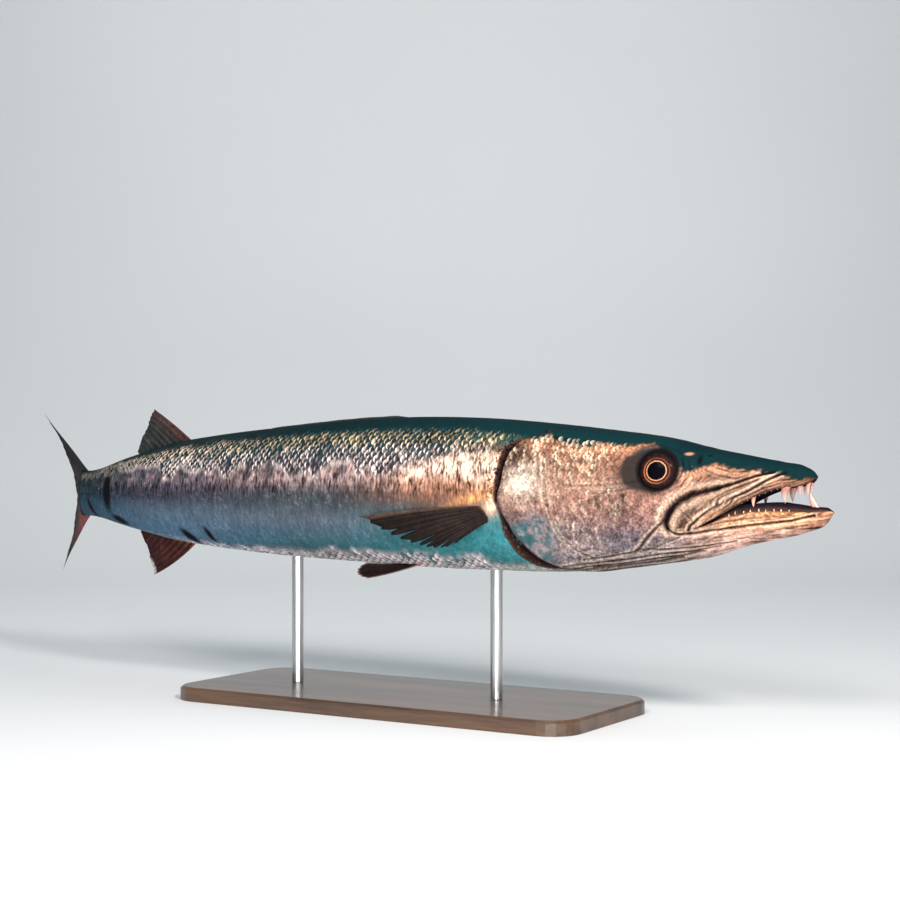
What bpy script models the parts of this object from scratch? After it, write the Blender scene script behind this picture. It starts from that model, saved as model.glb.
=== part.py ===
"""A great barracuda, life size, swimming with its tail swung to its left, on a plain display stand.

Every piece of the fish is built in a straight fish frame first: X runs from the snout tip forwards,
so that a place 'along' the fish is at X = -along, Y is the fish's left and Z is up from the body axis.
The last step swings the tail round. All lengths are in metres.
"""

import math

import bmesh
import bpy
import numpy as np
from mathutils import Vector

MM = 0.001
GAP = 0.0003

# Driving sizes of the fish. Standard length runs from the snout tip to the root of the tail fin.
STANDARD_LENGTH = 0.950
SNOUT_X = 0.430
AXIS_HEIGHT = 0.212
BEND_START = 0.72 * STANDARD_LENGTH
BEND_LENGTH = 0.32 * STANDARD_LENGTH
TAIL_SWING = math.radians(37.2)
FIN_FLEX = math.radians(9.0)
FIN_FLEX_START = 0.90
FIN_FLEX_LENGTH = 0.20

# Places along the fish, from the snout tip, where the body is parted.
JAW_PARTING = 112 * MM
JAW_END = 186 * MM
SHOULDER_PARTING = 264 * MM
BELLY_PARTING = 470 * MM
VENT_PARTING = 690 * MM
STALK_PARTING = 850 * MM
STALK_END = 958 * MM

# Millimetres: place along the fish, height of the back, depth of the belly, half width.
PROFILE = (
    (-13.7, -8.4, -11.4, 1.4),
    (-9.0, -5.0, -17.5, 5.4),
    (-1.5, 13.0, -23.5, 8.4),
    (2.0, 23.0, -25.2, 9.4),
    (6.0, 27.0, -26.4, 10.2),
    (12.0, 30.2, -28.4, 11.6),
    (32.0, 34.2, -33.4, 15.6),
    (60.0, 39.2, -39.6, 21.0),
    (100.0, 46.8, -52.2, 28.2),
    (143.0, 56.4, -59.6, 34.6),
    (190.0, 62.6, -66.6, 42.0),
    (240.0, 68.0, -70.4, 47.6),
    (323.0, 75.2, -71.8, 53.4),
    (400.0, 77.7, -71.6, 55.2),
    (475.0, 76.2, -69.2, 54.6),
    (570.0, 69.6, -66.0, 51.0),
    (665.0, 61.0, -60.0, 44.4),
    (720.0, 54.0, -54.6, 38.8),
    (798.0, 37.6, -42.4, 28.0),
    (870.0, 23.6, -33.4, 17.6),
    (920.0, 20.2, -32.4, 11.6),
    (958.0, 20.6, -34.0, 5.0),
)
HEAD_SQUARENESS = 2.7
TRUNK_SQUARENESS = 2.2
SNOUT_TAPER = 6 * MM

# Millimetres along and above the axis: the edges of the open mouth, front to back.
UPPER_LIP = ((-30, 19.6), (1, 19.6), (8, 15.2), (18, 12.8), (30, 11.4), (42, 7.6), (56, 1.8),
             (68, -4.6), (80, -11.6), (96, -20.0), (106, -25.2))
LOWER_LIP = ((-30, -8.0), (-12, -8.2), (4, -9.6), (26, -9.4), (49, -9.8), (65, -11.6),
             (80, -15.8), (93, -22.0), (104, -26.2))
JAW_HINGE_EDGE = ((130, -20.5), (160, -48.0), (186, -86.0))
LIP_GROOVE = ((6, -15.0), (28, -18.8), (52, -21.8), (76, -24.8), (100, -27.0), (120, -30.4))

# Millimetres along and above the axis: the blade of the maxilla, upper and lower edge.
MAXILLA_TOP = ((36, 24.0), (50, 21.2), (65, 15.6), (80, 11.2), (96, 6.2), (112, -0.4), (124, -7.4), (132, -17.0))
MAXILLA_FOOT = ((36, 21.4), (49, 14.2), (64, 6.8), (77, 0.4), (88, -6.2), (104, -20.6), (116, -29.6), (128, -25.6))
MAXILLA_THICKNESS = 3.0 * MM
MAXILLA_PROUD = 1.1 * MM

MOUTH_FRONT = 3 * MM
MOUTH_THROAT = 118 * MM
PALATE_RISE = 7 * MM
MOUTH_FLOOR_DROP = 9 * MM
JAW_WALL = 5.6 * MM
LIP_GROOVE_RADIUS = 1.3 * MM

# Teeth, each (place along, length, base, lean back) in millimetres, and the gum inside the lower lip.
UPPER_FANGS = ((7.5, 11.5, 5.0, 1.0), (13.5, 12.5, 5.6, 1.2), (25.5, 15.0, 9.6, 2.6))
PALATE_FANGS = ((44.0, 9.0, 5.0, 1.0), (55.0, 8.0, 4.6, 1.0))
SMALL_TOOTH_PITCH = 7.2
UPPER_SMALL_TEETH = 8
LOWER_SMALL_TEETH = 9
TOOTH_FLATNESS = 0.62
GUM_INSET = 5.0 * MM
GUM_LENGTH = 72 * MM
GUM_RISE = 4.2 * MM
GUM_THICKNESS = 5.2 * MM

# Nostrils of one side, each (along, height, half length, half height) in millimetres.
NOSTRILS = ((100.0, 37.6, 2.6, 1.6), (106.5, 36.6, 1.5, 3.0))
NOSTRIL_DEPTH = 2.4 * MM

EYE_ALONG = 140.5 * MM
EYE_HEIGHT = 26.2 * MM
EYE_RADIUS = 18.4 * MM
EYE_BULGE = 8.2 * MM
EYE_DEPTH = 14 * MM
EYE_SINK = 3.4 * MM

# Degrees round the section from level, and millimetres along the front and rear edge of the gill cover.
GILL_COVER = ((56, 245, 254), (47, 248, 268), (36, 249, 281), (20, 248.5, 288), (6, 247, 291.4), (-1, 245.5, 294.6),
              (-8, 241.5, 290.6), (-16, 236.5, 283), (-26, 230, 276), (-36, 220, 266.5), (-46, 210, 257),
              (-58, 200, 243), (-72, 190, 222))
GILL_COVER_THICKNESS = 3.2 * MM
GILL_COVER_PROUD = 2.4 * MM

# How finely the body is faceted: length of a step along it and points round a section.
HEAD_STEP = 8 * MM
HEAD_AROUND = 34
TRUNK_STEP = 20 * MM
TRUNK_AROUND = 28

# Sizes of the stand.
BASE_LENGTH = 0.46
BASE_WIDTH = 0.19
BASE_THICKNESS = 0.014
BASE_CORNER = 0.03
ROD_RADIUS = 0.006
ROD_ALONG = {"stand_rod_front": 0.325, "stand_rod_rear": 0.565}


def curve(points, at):
    """Height of a smooth line through the points, each (along, height), at the places asked for."""
    x = np.array([p[0] for p in points], float)
    y = np.array([p[1] for p in points], float)
    at = np.clip(np.asarray(at, float), x[0], x[-1])
    slope = np.empty_like(y)
    steep = np.diff(y) / np.diff(x)
    slope[0] = steep[0]
    slope[-1] = steep[-1]
    before = np.diff(x)[:-1]
    after = np.diff(x)[1:]
    slope[1:-1] = (steep[:-1] * after + steep[1:] * before) / (before + after)
    i = np.clip(np.searchsorted(x, at, side="right") - 1, 0, len(x) - 2)
    width = x[i + 1] - x[i]
    t = (at - x[i]) / width
    return (
        (1 + 2 * t) * (1 - t) ** 2 * y[i]
        + t * (1 - t) ** 2 * width * slope[i]
        + t * t * (3 - 2 * t) * y[i + 1]
        + t * t * (t - 1) * width * slope[i + 1]
    )


def blend(low, high, value):
    """0 below low, 1 above high, and a smooth step between."""
    t = np.clip((np.asarray(value, float) - low) / (high - low), 0, 1)
    return t * t * (3 - 2 * t)


def profile(column, along):
    """One column of PROFILE at a place along the fish, in metres."""
    return curve([(row[0], row[column]) for row in PROFILE], np.asarray(along) / MM) * MM


def back(along):
    return profile(1, along)


def belly(along):
    return profile(2, along)


def half_width(along, height):
    """Greatest half width there. The upper jaw is narrower at its tip than the lower jaw below it."""
    wide = profile(3, along)
    tip = 1 - 0.5 * np.exp(-np.maximum(along, 0) / SNOUT_TAPER)
    upper = blend(-5 * MM, 12 * MM, height)
    return wide * (1 + (tip - 1) * upper)


def squareness(along):
    return HEAD_SQUARENESS + (TRUNK_SQUARENESS - HEAD_SQUARENESS) * blend(0.22, 0.36, along)


def skin(along, turn, lift=0.0):
    """Point of the skin at an angle round the section, from level on the left side, moved out by lift."""
    middle = (back(along) + belly(along)) / 2
    tall = (back(along) - belly(along)) / 2
    power = 2 / squareness(along)
    c, s = math.cos(turn), math.sin(turn)
    height = middle + tall * math.copysign(abs(s) ** power, s)
    wide = half_width(along, height)
    side = wide * math.copysign(abs(c) ** power, c)
    out = Vector((0, c / max(wide, MM), s / max(tall, MM))).normalized()
    return Vector((-along, side, height)) + out * lift


def side_of(along, height):
    """Half width of the skin at a height above the axis."""
    middle = (back(along) + belly(along)) / 2
    tall = (back(along) - belly(along)) / 2
    share = np.clip(abs(height - middle) / tall, 0, 0.985)
    n = squareness(along)
    return half_width(along, height) * (1 - share**n) ** (1 / n)


def material(name, colour, roughness, metallic=0.0):
    made = bpy.data.materials.new(name)
    made.use_nodes = True
    shader = made.node_tree.nodes["Principled BSDF"]
    shader.inputs["Base Color"].default_value = (*colour, 1)
    shader.inputs["Roughness"].default_value = roughness
    shader.inputs["Metallic"].default_value = metallic
    return made


def mesh_object(name, points, faces, finish=None):
    """A closed mesh object with its faces turned outwards."""
    mesh = bpy.data.meshes.new(name)
    mesh.from_pydata([tuple(p) for p in points], [], faces)
    shape = bmesh.new()
    shape.from_mesh(mesh)
    bmesh.ops.recalc_face_normals(shape, faces=shape.faces)
    shape.to_mesh(mesh)
    shape.free()
    made = bpy.data.objects.new(name, mesh)
    bpy.context.scene.collection.objects.link(made)
    if finish:
        made.data.materials.append(finish)
    return made


def loft(name, rings, finish=None):
    """Closed solid through rings that have the same number of points."""
    count = len(rings[0])
    points = [p for ring in rings for p in ring]
    faces = []
    for row in range(len(rings) - 1):
        for i in range(count):
            j = (i + 1) % count
            faces.append((row * count + i, row * count + j, (row + 1) * count + j, (row + 1) * count + i))
    last = (len(rings) - 1) * count
    faces.append(tuple(range(count))[::-1])
    faces.append(tuple(range(last, last + count)))
    return mesh_object(name, points, faces, finish)


def body_loft(name, start, end, spacing, around, finish=None, lift=0.0):
    """The body between two places along it, as a loft of its own sections."""
    rows = max(2, round((end - start) / spacing))
    rings = []
    for row in range(rows + 1):
        along = start + (end - start) * row / rows
        rings.append([skin(along, 2 * math.pi * (i + 0.5) / around, lift) for i in range(around)])
    return loft(name, rings, finish)


def prism(name, outline, half=0.09):
    """An outline of (along, height) in metres, run across the fish."""
    near = [Vector((-a, -half, h)) for a, h in outline]
    far = [Vector((-a, half, h)) for a, h in outline]
    return loft(name, [near, far])


def grown(outline, by):
    """A closed outline moved outwards by a small distance."""
    count = len(outline)
    area = sum(outline[i][0] * outline[(i + 1) % count][1] - outline[(i + 1) % count][0] * outline[i][1]
               for i in range(count))
    turn = 1 if area > 0 else -1
    made = []
    for i in range(count):
        before = Vector(outline[i]) - Vector(outline[i - 1])
        after = Vector(outline[(i + 1) % count]) - Vector(outline[i])
        n1 = Vector((before.y, -before.x)).normalized() * turn
        n2 = Vector((after.y, -after.x)).normalized() * turn
        corner = (n1 + n2).normalized()
        made.append(tuple(Vector(outline[i]) + corner * by / max(corner.dot(n1), 0.4)))
    return made


def bake(target):
    """Applies the object's modifiers."""
    bpy.context.view_layer.update()
    graph = bpy.context.evaluated_depsgraph_get()
    mesh = bpy.data.meshes.new_from_object(target.evaluated_get(graph))
    target.modifiers.clear()
    target.data = mesh
    return target


def drop(*objects):
    for item in objects:
        bpy.data.objects.remove(item, do_unlink=True)


def keep_largest(target):
    """Leaves only the closed surface with the most volume."""
    shape = bmesh.new()
    shape.from_mesh(target.data)
    bmesh.ops.remove_doubles(shape, verts=shape.verts, dist=1e-6)
    bmesh.ops.triangulate(shape, faces=shape.faces)
    shape.faces.ensure_lookup_table()
    seen = set()
    best = (0.0, [])
    for first in shape.faces:
        if first in seen:
            continue
        island = []
        waiting = [first]
        seen.add(first)
        while waiting:
            face = waiting.pop()
            island.append(face)
            for edge in face.edges:
                for other in edge.link_faces:
                    if other not in seen:
                        seen.add(other)
                        waiting.append(other)
        volume = sum(f.verts[0].co.dot(f.verts[1].co.cross(f.verts[2].co)) / 6 for f in island)
        if volume > best[0]:
            best = (volume, island)
    keep = set(best[1])
    bmesh.ops.delete(shape, geom=[f for f in shape.faces if f not in keep], context="FACES")
    shape.to_mesh(target.data)
    shape.free()
    return target


def cut(target, tool, operation="DIFFERENCE", keep_tool=False):
    """Applies one Boolean and keeps the largest closed surface."""
    modifier = target.modifiers.new(operation.lower(), "BOOLEAN")
    modifier.operation = operation
    modifier.solver = "EXACT"
    modifier.object = tool
    bake(target)
    if not keep_tool:
        drop(tool)
    return keep_largest(target)


def fuse(target, pieces):
    """Joins closed pieces, each sunk well into the target, to it by one Boolean union."""
    group = bpy.data.collections.new(target.name + "_pieces")
    bpy.context.scene.collection.children.link(group)
    for piece in pieces:
        group.objects.link(piece)
        bpy.context.scene.collection.objects.unlink(piece)
    modifier = target.modifiers.new("union", "BOOLEAN")
    modifier.operation = "UNION"
    modifier.solver = "EXACT"
    modifier.operand_type = "COLLECTION"
    modifier.collection = group
    bake(target)
    drop(*pieces)
    bpy.data.collections.remove(group)
    return keep_largest(target)


def metres(points):
    return [(a * MM, h * MM) for a, h in points]


def lip_height(lip, along):
    return float(curve(lip, along / MM)) * MM


def mouth_hollow():
    """The hollow between the jaws: a palate above the lips and a floor below them, closed at the throat."""
    rings = []
    for row in range(15):
        along = MOUTH_FRONT + (MOUTH_THROAT - MOUTH_FRONT) * row / 14
        high = lip_height(UPPER_LIP, along) + PALATE_RISE
        low = lip_height(LOWER_LIP, along) - MOUTH_FLOOR_DROP
        middle, tall = (high + low) / 2, (high - low) / 2
        closing = math.sqrt(max(0.03, 1 - (row / 14) ** 6))
        wide = max(float(profile(3, along)) - JAW_WALL, 1.5 * MM) * closing
        ring = []
        for i in range(16):
            turn = 2 * math.pi * (i + 0.5) / 16
            ring.append(Vector((-along, wide * math.cos(turn), middle + tall * closing * math.sin(turn))))
        rings.append(ring)
    return loft("mouth_hollow", rings)


def tooth(root, tip, long, thick, sides):
    """A lancet tooth from a root sunk in the jaw to its tip, longer along the fish than across it."""
    axis = (tip - root).normalized()
    forward = Vector((1, 0, 0))
    forward = (forward - axis * forward.dot(axis)).normalized()
    across = axis.cross(forward)
    ring = []
    for i in range(sides):
        turn = 2 * math.pi * i / sides
        ring.append(root + forward * (long / 2 * math.cos(turn)) + across * (thick / 2 * math.sin(turn)))
    faces = [tuple(range(sides))]
    faces += [(i, (i + 1) % sides, sides) for i in range(sides)]
    return mesh_object("tooth", ring + [tip], faces)


def jaw_teeth(lip, upward, rows, inset=3.0 * MM, sink=3.2 * MM):
    """Teeth on both sides of a jaw. Each row is (along, length, base, lean back) in millimetres."""
    made = []
    for side in (-1, 1):
        for along, length, base, lean in rows:
            a = along * MM
            height = lip_height(lip, a)
            wide = max(float(side_of(a, height)) - inset, 1.2 * MM)
            root = Vector((-a, side * wide, height - upward * sink))
            tip = Vector((-a - lean * MM, side * (wide - 0.12 * length * MM), height + upward * length * MM))
            made.append(tooth(root, tip, base * MM, TOOTH_FLATNESS * base * MM, 6 if length > 7 else 4))
    return made


def upper_teeth():
    """Three fangs a side in front, then a row of small teeth that shrinks backwards."""
    row = [(36 + SMALL_TOOTH_PITCH * i, 4.2 - 0.25 * i, 3.4, 0.6) for i in range(UPPER_SMALL_TEETH)]
    return jaw_teeth(UPPER_LIP, -1, list(UPPER_FANGS) + row)


def palate_teeth():
    """Long teeth on the palate, inside the row on the jaw."""
    return jaw_teeth(UPPER_LIP, -1, PALATE_FANGS, inset=4.4 * MM)


def gum(side):
    """The gum that stands inside the lower lip, from the front of the jaw towards its corner."""
    rings = []
    for row in range(10):
        along = 2.5 * MM + GUM_LENGTH * row / 9
        height = lip_height(LOWER_LIP, along) + 0.6 * MM
        middle = max(float(profile(3, along)) - GUM_INSET, 1.6 * MM)
        rise = GUM_RISE * (1 - 0.5 * (row / 9) ** 3)
        ring = []
        for i in range(6):
            turn = math.pi / 3 * (i + 0.5)
            across = middle + GUM_THICKNESS / 2 * math.cos(turn)
            ring.append(Vector((-along, side * across, height + rise * math.sin(turn))))
        rings.append(ring)
    return loft("gum", rings)


def lower_teeth():
    """A row that grows backwards, and one large tooth at the tip of the jaw."""
    row = [(11 + SMALL_TOOTH_PITCH * i, 6.2 + 0.14 * i, 3.2 + 0.1 * i, 0.4) for i in range(LOWER_SMALL_TEETH)]
    made = jaw_teeth(LOWER_LIP, 1, row, inset=GUM_INSET - 0.6 * MM, sink=1.4 * MM)
    height = lip_height(LOWER_LIP, 0.0)
    made.append(tooth(Vector((0.001, 0, height - 4 * MM)), Vector((-9.0 * MM, 0, 9.6 * MM)), 9 * MM, 5 * MM, 6))
    return made


def surface_tube(name, line, radius, side):
    """A thin tube that follows a line of (along, height) on one side of the head."""
    rings = []
    for row in range(13):
        along = line[0][0] * MM + (line[-1][0] - line[0][0]) * MM * row / 12
        height = float(curve(line, along / MM)) * MM
        centre = Vector((-along, side * (float(side_of(along, height)) + 0.3 * radius), height))
        ring = []
        for i in range(6):
            turn = 2 * math.pi * i / 6
            ring.append(centre + Vector((0, radius * math.cos(turn), radius * math.sin(turn))))
        rings.append(ring)
    return loft(name, rings)


def nostril(row, side):
    """A small egg centred on the skin, which cuts one nostril."""
    along, height, half_length, half_height = (value * MM for value in row)
    centre = Vector((-along, side * float(side_of(along, height)), height))
    made = bmesh.new()
    bmesh.ops.create_icosphere(made, subdivisions=1, radius=1)
    mesh = bpy.data.meshes.new("nostril")
    for vert in made.verts:
        vert.co = centre + Vector((vert.co.x * half_length, vert.co.y * NOSTRIL_DEPTH, vert.co.z * half_height))
    made.to_mesh(mesh)
    made.free()
    egg = bpy.data.objects.new("nostril", mesh)
    bpy.context.scene.collection.objects.link(egg)
    return egg


def two_sided(name, outer, inner, finish=None):
    """Closed plate between two like grids, split into triangles alike on both faces."""
    rows, columns = len(outer), len(outer[0])
    points = [p for row in outer for p in row] + [p for row in inner for p in row]
    shift = rows * columns
    faces = []
    for r in range(rows - 1):
        for c in range(columns - 1):
            a, b = r * columns + c, r * columns + c + 1
            d, e = a + columns, b + columns
            faces += [(a, b, e), (a, e, d), (a + shift, e + shift, b + shift), (a + shift, d + shift, e + shift)]
    rim = list(range(columns))
    rim += [r * columns + columns - 1 for r in range(1, rows)]
    rim += [(rows - 1) * columns + c for c in range(columns - 2, -1, -1)]
    rim += [r * columns for r in range(rows - 2, 0, -1)]
    for i, a in enumerate(rim):
        b = rim[(i + 1) % len(rim)]
        faces += [(a, a + shift, b + shift), (a, b + shift, b)]
    return mesh_object(name, points, faces, finish)


def maxilla(name, side, margin=0.0, finish=None):
    """The blade over the corner of the mouth. With a margin it is the pocket that the head keeps for it."""
    outer, inner = [], []
    columns = 13
    for c in range(columns):
        share = c / (columns - 1)
        top_along = 36 + (132 - 36) * share
        foot_along = 36 + (128 - 36) * share
        top = Vector((top_along, float(curve(MAXILLA_TOP, top_along)))) * MM
        foot = Vector((foot_along, float(curve(MAXILLA_FOOT, foot_along)))) * MM
        along_edge = Vector((1, 0)) * margin * (-1 if c == 0 else 1 if c == columns - 1 else 0)
        up = (top - foot).normalized() * margin
        out_row, in_row = [], []
        for r in range(5):
            place = (foot - up + along_edge).lerp(top + up + along_edge, r / 4)
            skin_side = float(side_of(place.x, place.y))
            swell = MAXILLA_PROUD * (0.45 + 0.55 * math.sin(math.pi * r / 4))
            far = skin_side + (6 * MM if margin else swell)
            near = skin_side + MAXILLA_PROUD - MAXILLA_THICKNESS - margin
            out_row.append(Vector((-place.x, side * far, place.y)))
            in_row.append(Vector((-place.x, side * near, place.y)))
        outer.append(out_row)
        inner.append(in_row)
    return two_sided(name, outer, inner, finish)


def gill_cover(name, side, margin=0.0, finish=None):
    """The gill cover, flush in front and standing proud at its rear edge, or the pocket for it."""
    turns = [row[0] for row in GILL_COVER][::-1]
    fronts = [(row[0], row[1]) for row in GILL_COVER][::-1]
    rears = [(row[0], row[2]) for row in GILL_COVER][::-1]
    columns, rows = 17, 6
    outer, inner = [], []
    for c in range(columns):
        turn = turns[0] + (turns[-1] - turns[0]) * c / (columns - 1)
        front = float(curve(fronts, turn)) * MM - margin
        rear = float(curve(rears, turn)) * MM + margin
        past = math.degrees(margin / 0.06) * (-1 if c == 0 else 1 if c == columns - 1 else 0)
        angle = math.radians(turn + past)
        out_row, in_row = [], []
        for r in range(rows):
            share = r / (rows - 1)
            along = front + (rear - front) * share
            proud = 0.3 * MM + (GILL_COVER_PROUD - 0.3 * MM) * share**1.5
            far = skin(along, angle, 6 * MM if margin else proud)
            near = skin(along, angle, proud - GILL_COVER_THICKNESS - margin)
            out_row.append(Vector((far.x, side * far.y, far.z)))
            in_row.append(Vector((near.x, side * near.y, near.z)))
        outer.append(out_row)
        inner.append(in_row)
    return two_sided(name, outer, inner, finish)


def eye(name, side, margin=0.0, finish=None):
    """The eyeball: a shallow dome outside and a deeper bowl in the socket, turned a little up and forward."""
    made = bmesh.new()
    bmesh.ops.create_uvsphere(made, u_segments=24, v_segments=12, radius=1)
    look = Vector((0.10, side, 0.20)).normalized()
    turn = Vector((0, 0, 1)).rotation_difference(look)
    seat = float(side_of(EYE_ALONG, EYE_HEIGHT)) - EYE_SINK
    centre = Vector((-EYE_ALONG, side * seat, EYE_HEIGHT))
    for vert in made.verts:
        deep = EYE_BULGE if vert.co.z > 0 else EYE_DEPTH
        local = Vector((vert.co.x * (EYE_RADIUS + margin), vert.co.y * (EYE_RADIUS + margin),
                        vert.co.z * (deep + margin)))
        vert.co = centre + turn @ local
    mesh = bpy.data.meshes.new(name)
    made.to_mesh(mesh)
    made.free()
    ball = bpy.data.objects.new(name, mesh)
    bpy.context.scene.collection.objects.link(ball)
    if finish:
        mesh.materials.append(finish)
    return ball


def outlines():
    """The outlines, in metres, that part the head loft into its two jaws."""
    upper = metres(UPPER_LIP) + [(JAW_PARTING, -0.0262), (JAW_PARTING, 0.1), (-0.03, 0.1)]
    lower = metres(LOWER_LIP) + metres(JAW_HINGE_EDGE) + [(JAW_END, -0.12), (-0.03, -0.12)]
    return upper, lower


def build_head(skin_finish, jaw_finish):
    """The head and its two jaws, with the pockets for eyes, maxillae and gill covers cut out."""
    upper, lower = outlines()
    tip = PROFILE[0][0] * MM
    room = grown(lower, GAP)

    upper_jaw = body_loft("upper_jaw", tip, JAW_PARTING, HEAD_STEP, HEAD_AROUND, skin_finish)
    cut(upper_jaw, prism("mouth_side", upper), "INTERSECT")
    cut(upper_jaw, prism("jaw_room", room))
    cut(upper_jaw, mouth_hollow())

    lower_jaw = body_loft("lower_jaw", tip, JAW_END, HEAD_STEP, HEAD_AROUND, jaw_finish)
    cut(lower_jaw, prism("jaw_side", lower), "INTERSECT")
    cut(lower_jaw, mouth_hollow())

    head = body_loft("head", JAW_PARTING + GAP, SHOULDER_PARTING, HEAD_STEP, HEAD_AROUND, skin_finish)
    cut(head, prism("jaw_room", room))
    cut(head, mouth_hollow())

    for side in (-1, 1):
        for target in (upper_jaw, lower_jaw, head):
            cut(target, maxilla("pocket", side, GAP))
        cut(head, eye("socket", side, GAP))
        cut(head, gill_cover("pocket", side, GAP))
        for row in NOSTRILS:
            cut(upper_jaw, nostril(row, side))
        cut(lower_jaw, surface_tube("lip_line", LIP_GROOVE, LIP_GROOVE_RADIUS, side))
    fuse(upper_jaw, upper_teeth() + palate_teeth())
    fuse(lower_jaw, [gum(-1), gum(1)])
    fuse(lower_jaw, lower_teeth())
    return [upper_jaw, lower_jaw, head]


def build_trunk(finish):
    """The body behind the head, in four lengths."""
    parts = [
        ("trunk_front", SHOULDER_PARTING + GAP, BELLY_PARTING),
        ("trunk_middle", BELLY_PARTING + GAP, VENT_PARTING),
        ("trunk_rear", VENT_PARTING + GAP, STALK_PARTING),
        ("tail_stalk", STALK_PARTING + GAP, STALK_END),
    ]
    made = [body_loft(name, start, end, TRUNK_STEP, TRUNK_AROUND, finish) for name, start, end in parts]
    for side in (-1, 1):
        cut(made[0], gill_cover("pocket", side, GAP))
    return made


def bezier(a, b, c, t):
    return a * (1 - t) ** 2 + b * (2 * t * (1 - t)) + c * t * t


def fin(name, rays, finish, root_thick, tip_thick=0.6 * MM, web=0.45, notch=0.04, rows=6):
    """A fin through its rays, each (root, bow, tip). Rays are ridges and the web between them is thinner."""
    columns = []
    for i, ray in enumerate(rays):
        columns.append((ray, 1.0, 1.0))
        if i + 1 < len(rays):
            after = rays[i + 1]
            middle = tuple((ray[k] + after[k]) / 2 for k in range(3))
            columns.append((middle, web, 1 - notch))
    grid = [[bezier(*ray, reach * j / rows) for j in range(rows + 1)] for ray, _, reach in columns]
    outer, inner = [], []
    for c, (_, share, _) in enumerate(columns):
        out_row, in_row = [], []
        for j in range(rows + 1):
            here = grid[c][j]
            along_ray = grid[c][min(j + 1, rows)] - grid[c][max(j - 1, 0)]
            over = grid[min(c + 1, len(grid) - 1)][j] - grid[max(c - 1, 0)][j]
            normal = along_ray.cross(over).normalized()
            thick = root_thick + (tip_thick - root_thick) * (j / rows) ** 0.8
            half = max(thick * share, 0.5 * MM if j < rows else 0.36 * MM) / 2
            out_row.append(here + normal * half)
            in_row.append(here - normal * half)
        outer.append(out_row)
        inner.append(in_row)
    return two_sided(name, outer, inner, finish)


def fan(count, root_line, tip_line, bow):
    """Rays between a curve of roots and a curve of tips, each curve three points, bowed towards a direction."""
    rays = []
    for i in range(count):
        t = i / (count - 1)
        root = bezier(*root_line, t)
        tip = bezier(*tip_line, t)
        rays.append((root, (root + tip) / 2 + bow * (tip - root).length, tip))
    return rays


def at(along, side, height):
    """A place in the fish frame, from millimetres."""
    return Vector((-along * MM, side * MM, height * MM))


def tail_lobe(up):
    """Rays of one lobe of the tail fin, from its leading edge to the fork. The lower lobe curls aside."""
    middle = -7.0
    parting = 0.2
    curl = 0 if up > 0 else 23
    reach = 97 if up > 0 else 103
    roots = (at(918, 0, middle + up * 22), at(944, 0, middle + up * 20), at(950, 0, middle + up * parting))
    tips = (at(1132, curl, middle + up * reach), at(1022, 0.25 * curl, middle + up * 44),
            at(992, 0, middle + up * parting))
    rays = fan(11, roots, tips, Vector((0, 0, 0)))
    bowed = []
    for i, (root, bow, tip) in enumerate(rays):
        sweep = 1 - i / (len(rays) - 1)
        bowed.append((root, bow + Vector((-0.006 * sweep, -0.3 * tip.y, -up * 0.010 * sweep)), tip))
    return bowed


def pectoral(side):
    """The pectoral fin, laid back along the flank and a little clear of it."""
    roots = (at(299, side * 48, -8), at(297, side * 48, -13), at(299, side * 47, -19))
    tips = (at(438, side * 73, -20), at(354, side * 71, -61), at(334, side * 62, -43))
    return fan(13, roots, tips, Vector((0, side * 0.07, 0.035)))


def pelvic(side):
    """The pelvic fin, laid back beside the belly line. The left one is folded closer to the belly."""
    roots = (at(386, side * 19, -63), at(392, side * 16, -64), at(398, side * 12, -65))
    tips = (at(458, side * 28, -84), at(484, side * 27, -80), at(462, side * 24, -68))
    if side > 0:
        tips = (at(455, 33, -72), at(480, 31, -75), at(464, 26, -71))
    return fan(7, roots, tips, Vector((0, side * 0.03, -0.05)))


def folded_dorsal(finish):
    """The first dorsal fin, folded down: five spines in one low keel on the back."""
    start, end, columns = 424 * MM, 602 * MM, 30
    outer, inner = [], []
    for c in range(columns + 1):
        share = c / columns
        along = start + (end - start) * share
        step = (share * 5) % 1.0
        rise = (2.2 * MM) * blend(0, 0.12, share) * (1 - 0.72 * share) * (0.74 + 0.26 * math.sin(math.pi * step))
        half = 2.2 * MM * (1 - 0.6 * share) * float(blend(-0.02, 0.08, share))
        top = float(back(along))
        half = max(half, 0.4 * MM)
        outer.append([Vector((-along, half, top - 5 * MM)), Vector((-along, half * 0.9, top + 0.3 * rise)),
                      Vector((-along, 0.32 * MM, top + rise + 0.4 * MM))])
        inner.append([Vector((-along, -half, top - 5 * MM)), Vector((-along, -half * 0.9, top + 0.3 * rise)),
                      Vector((-along, -0.32 * MM, top + rise + 0.4 * MM))])
    return two_sided("first_dorsal_fin", outer, inner, finish)


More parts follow.
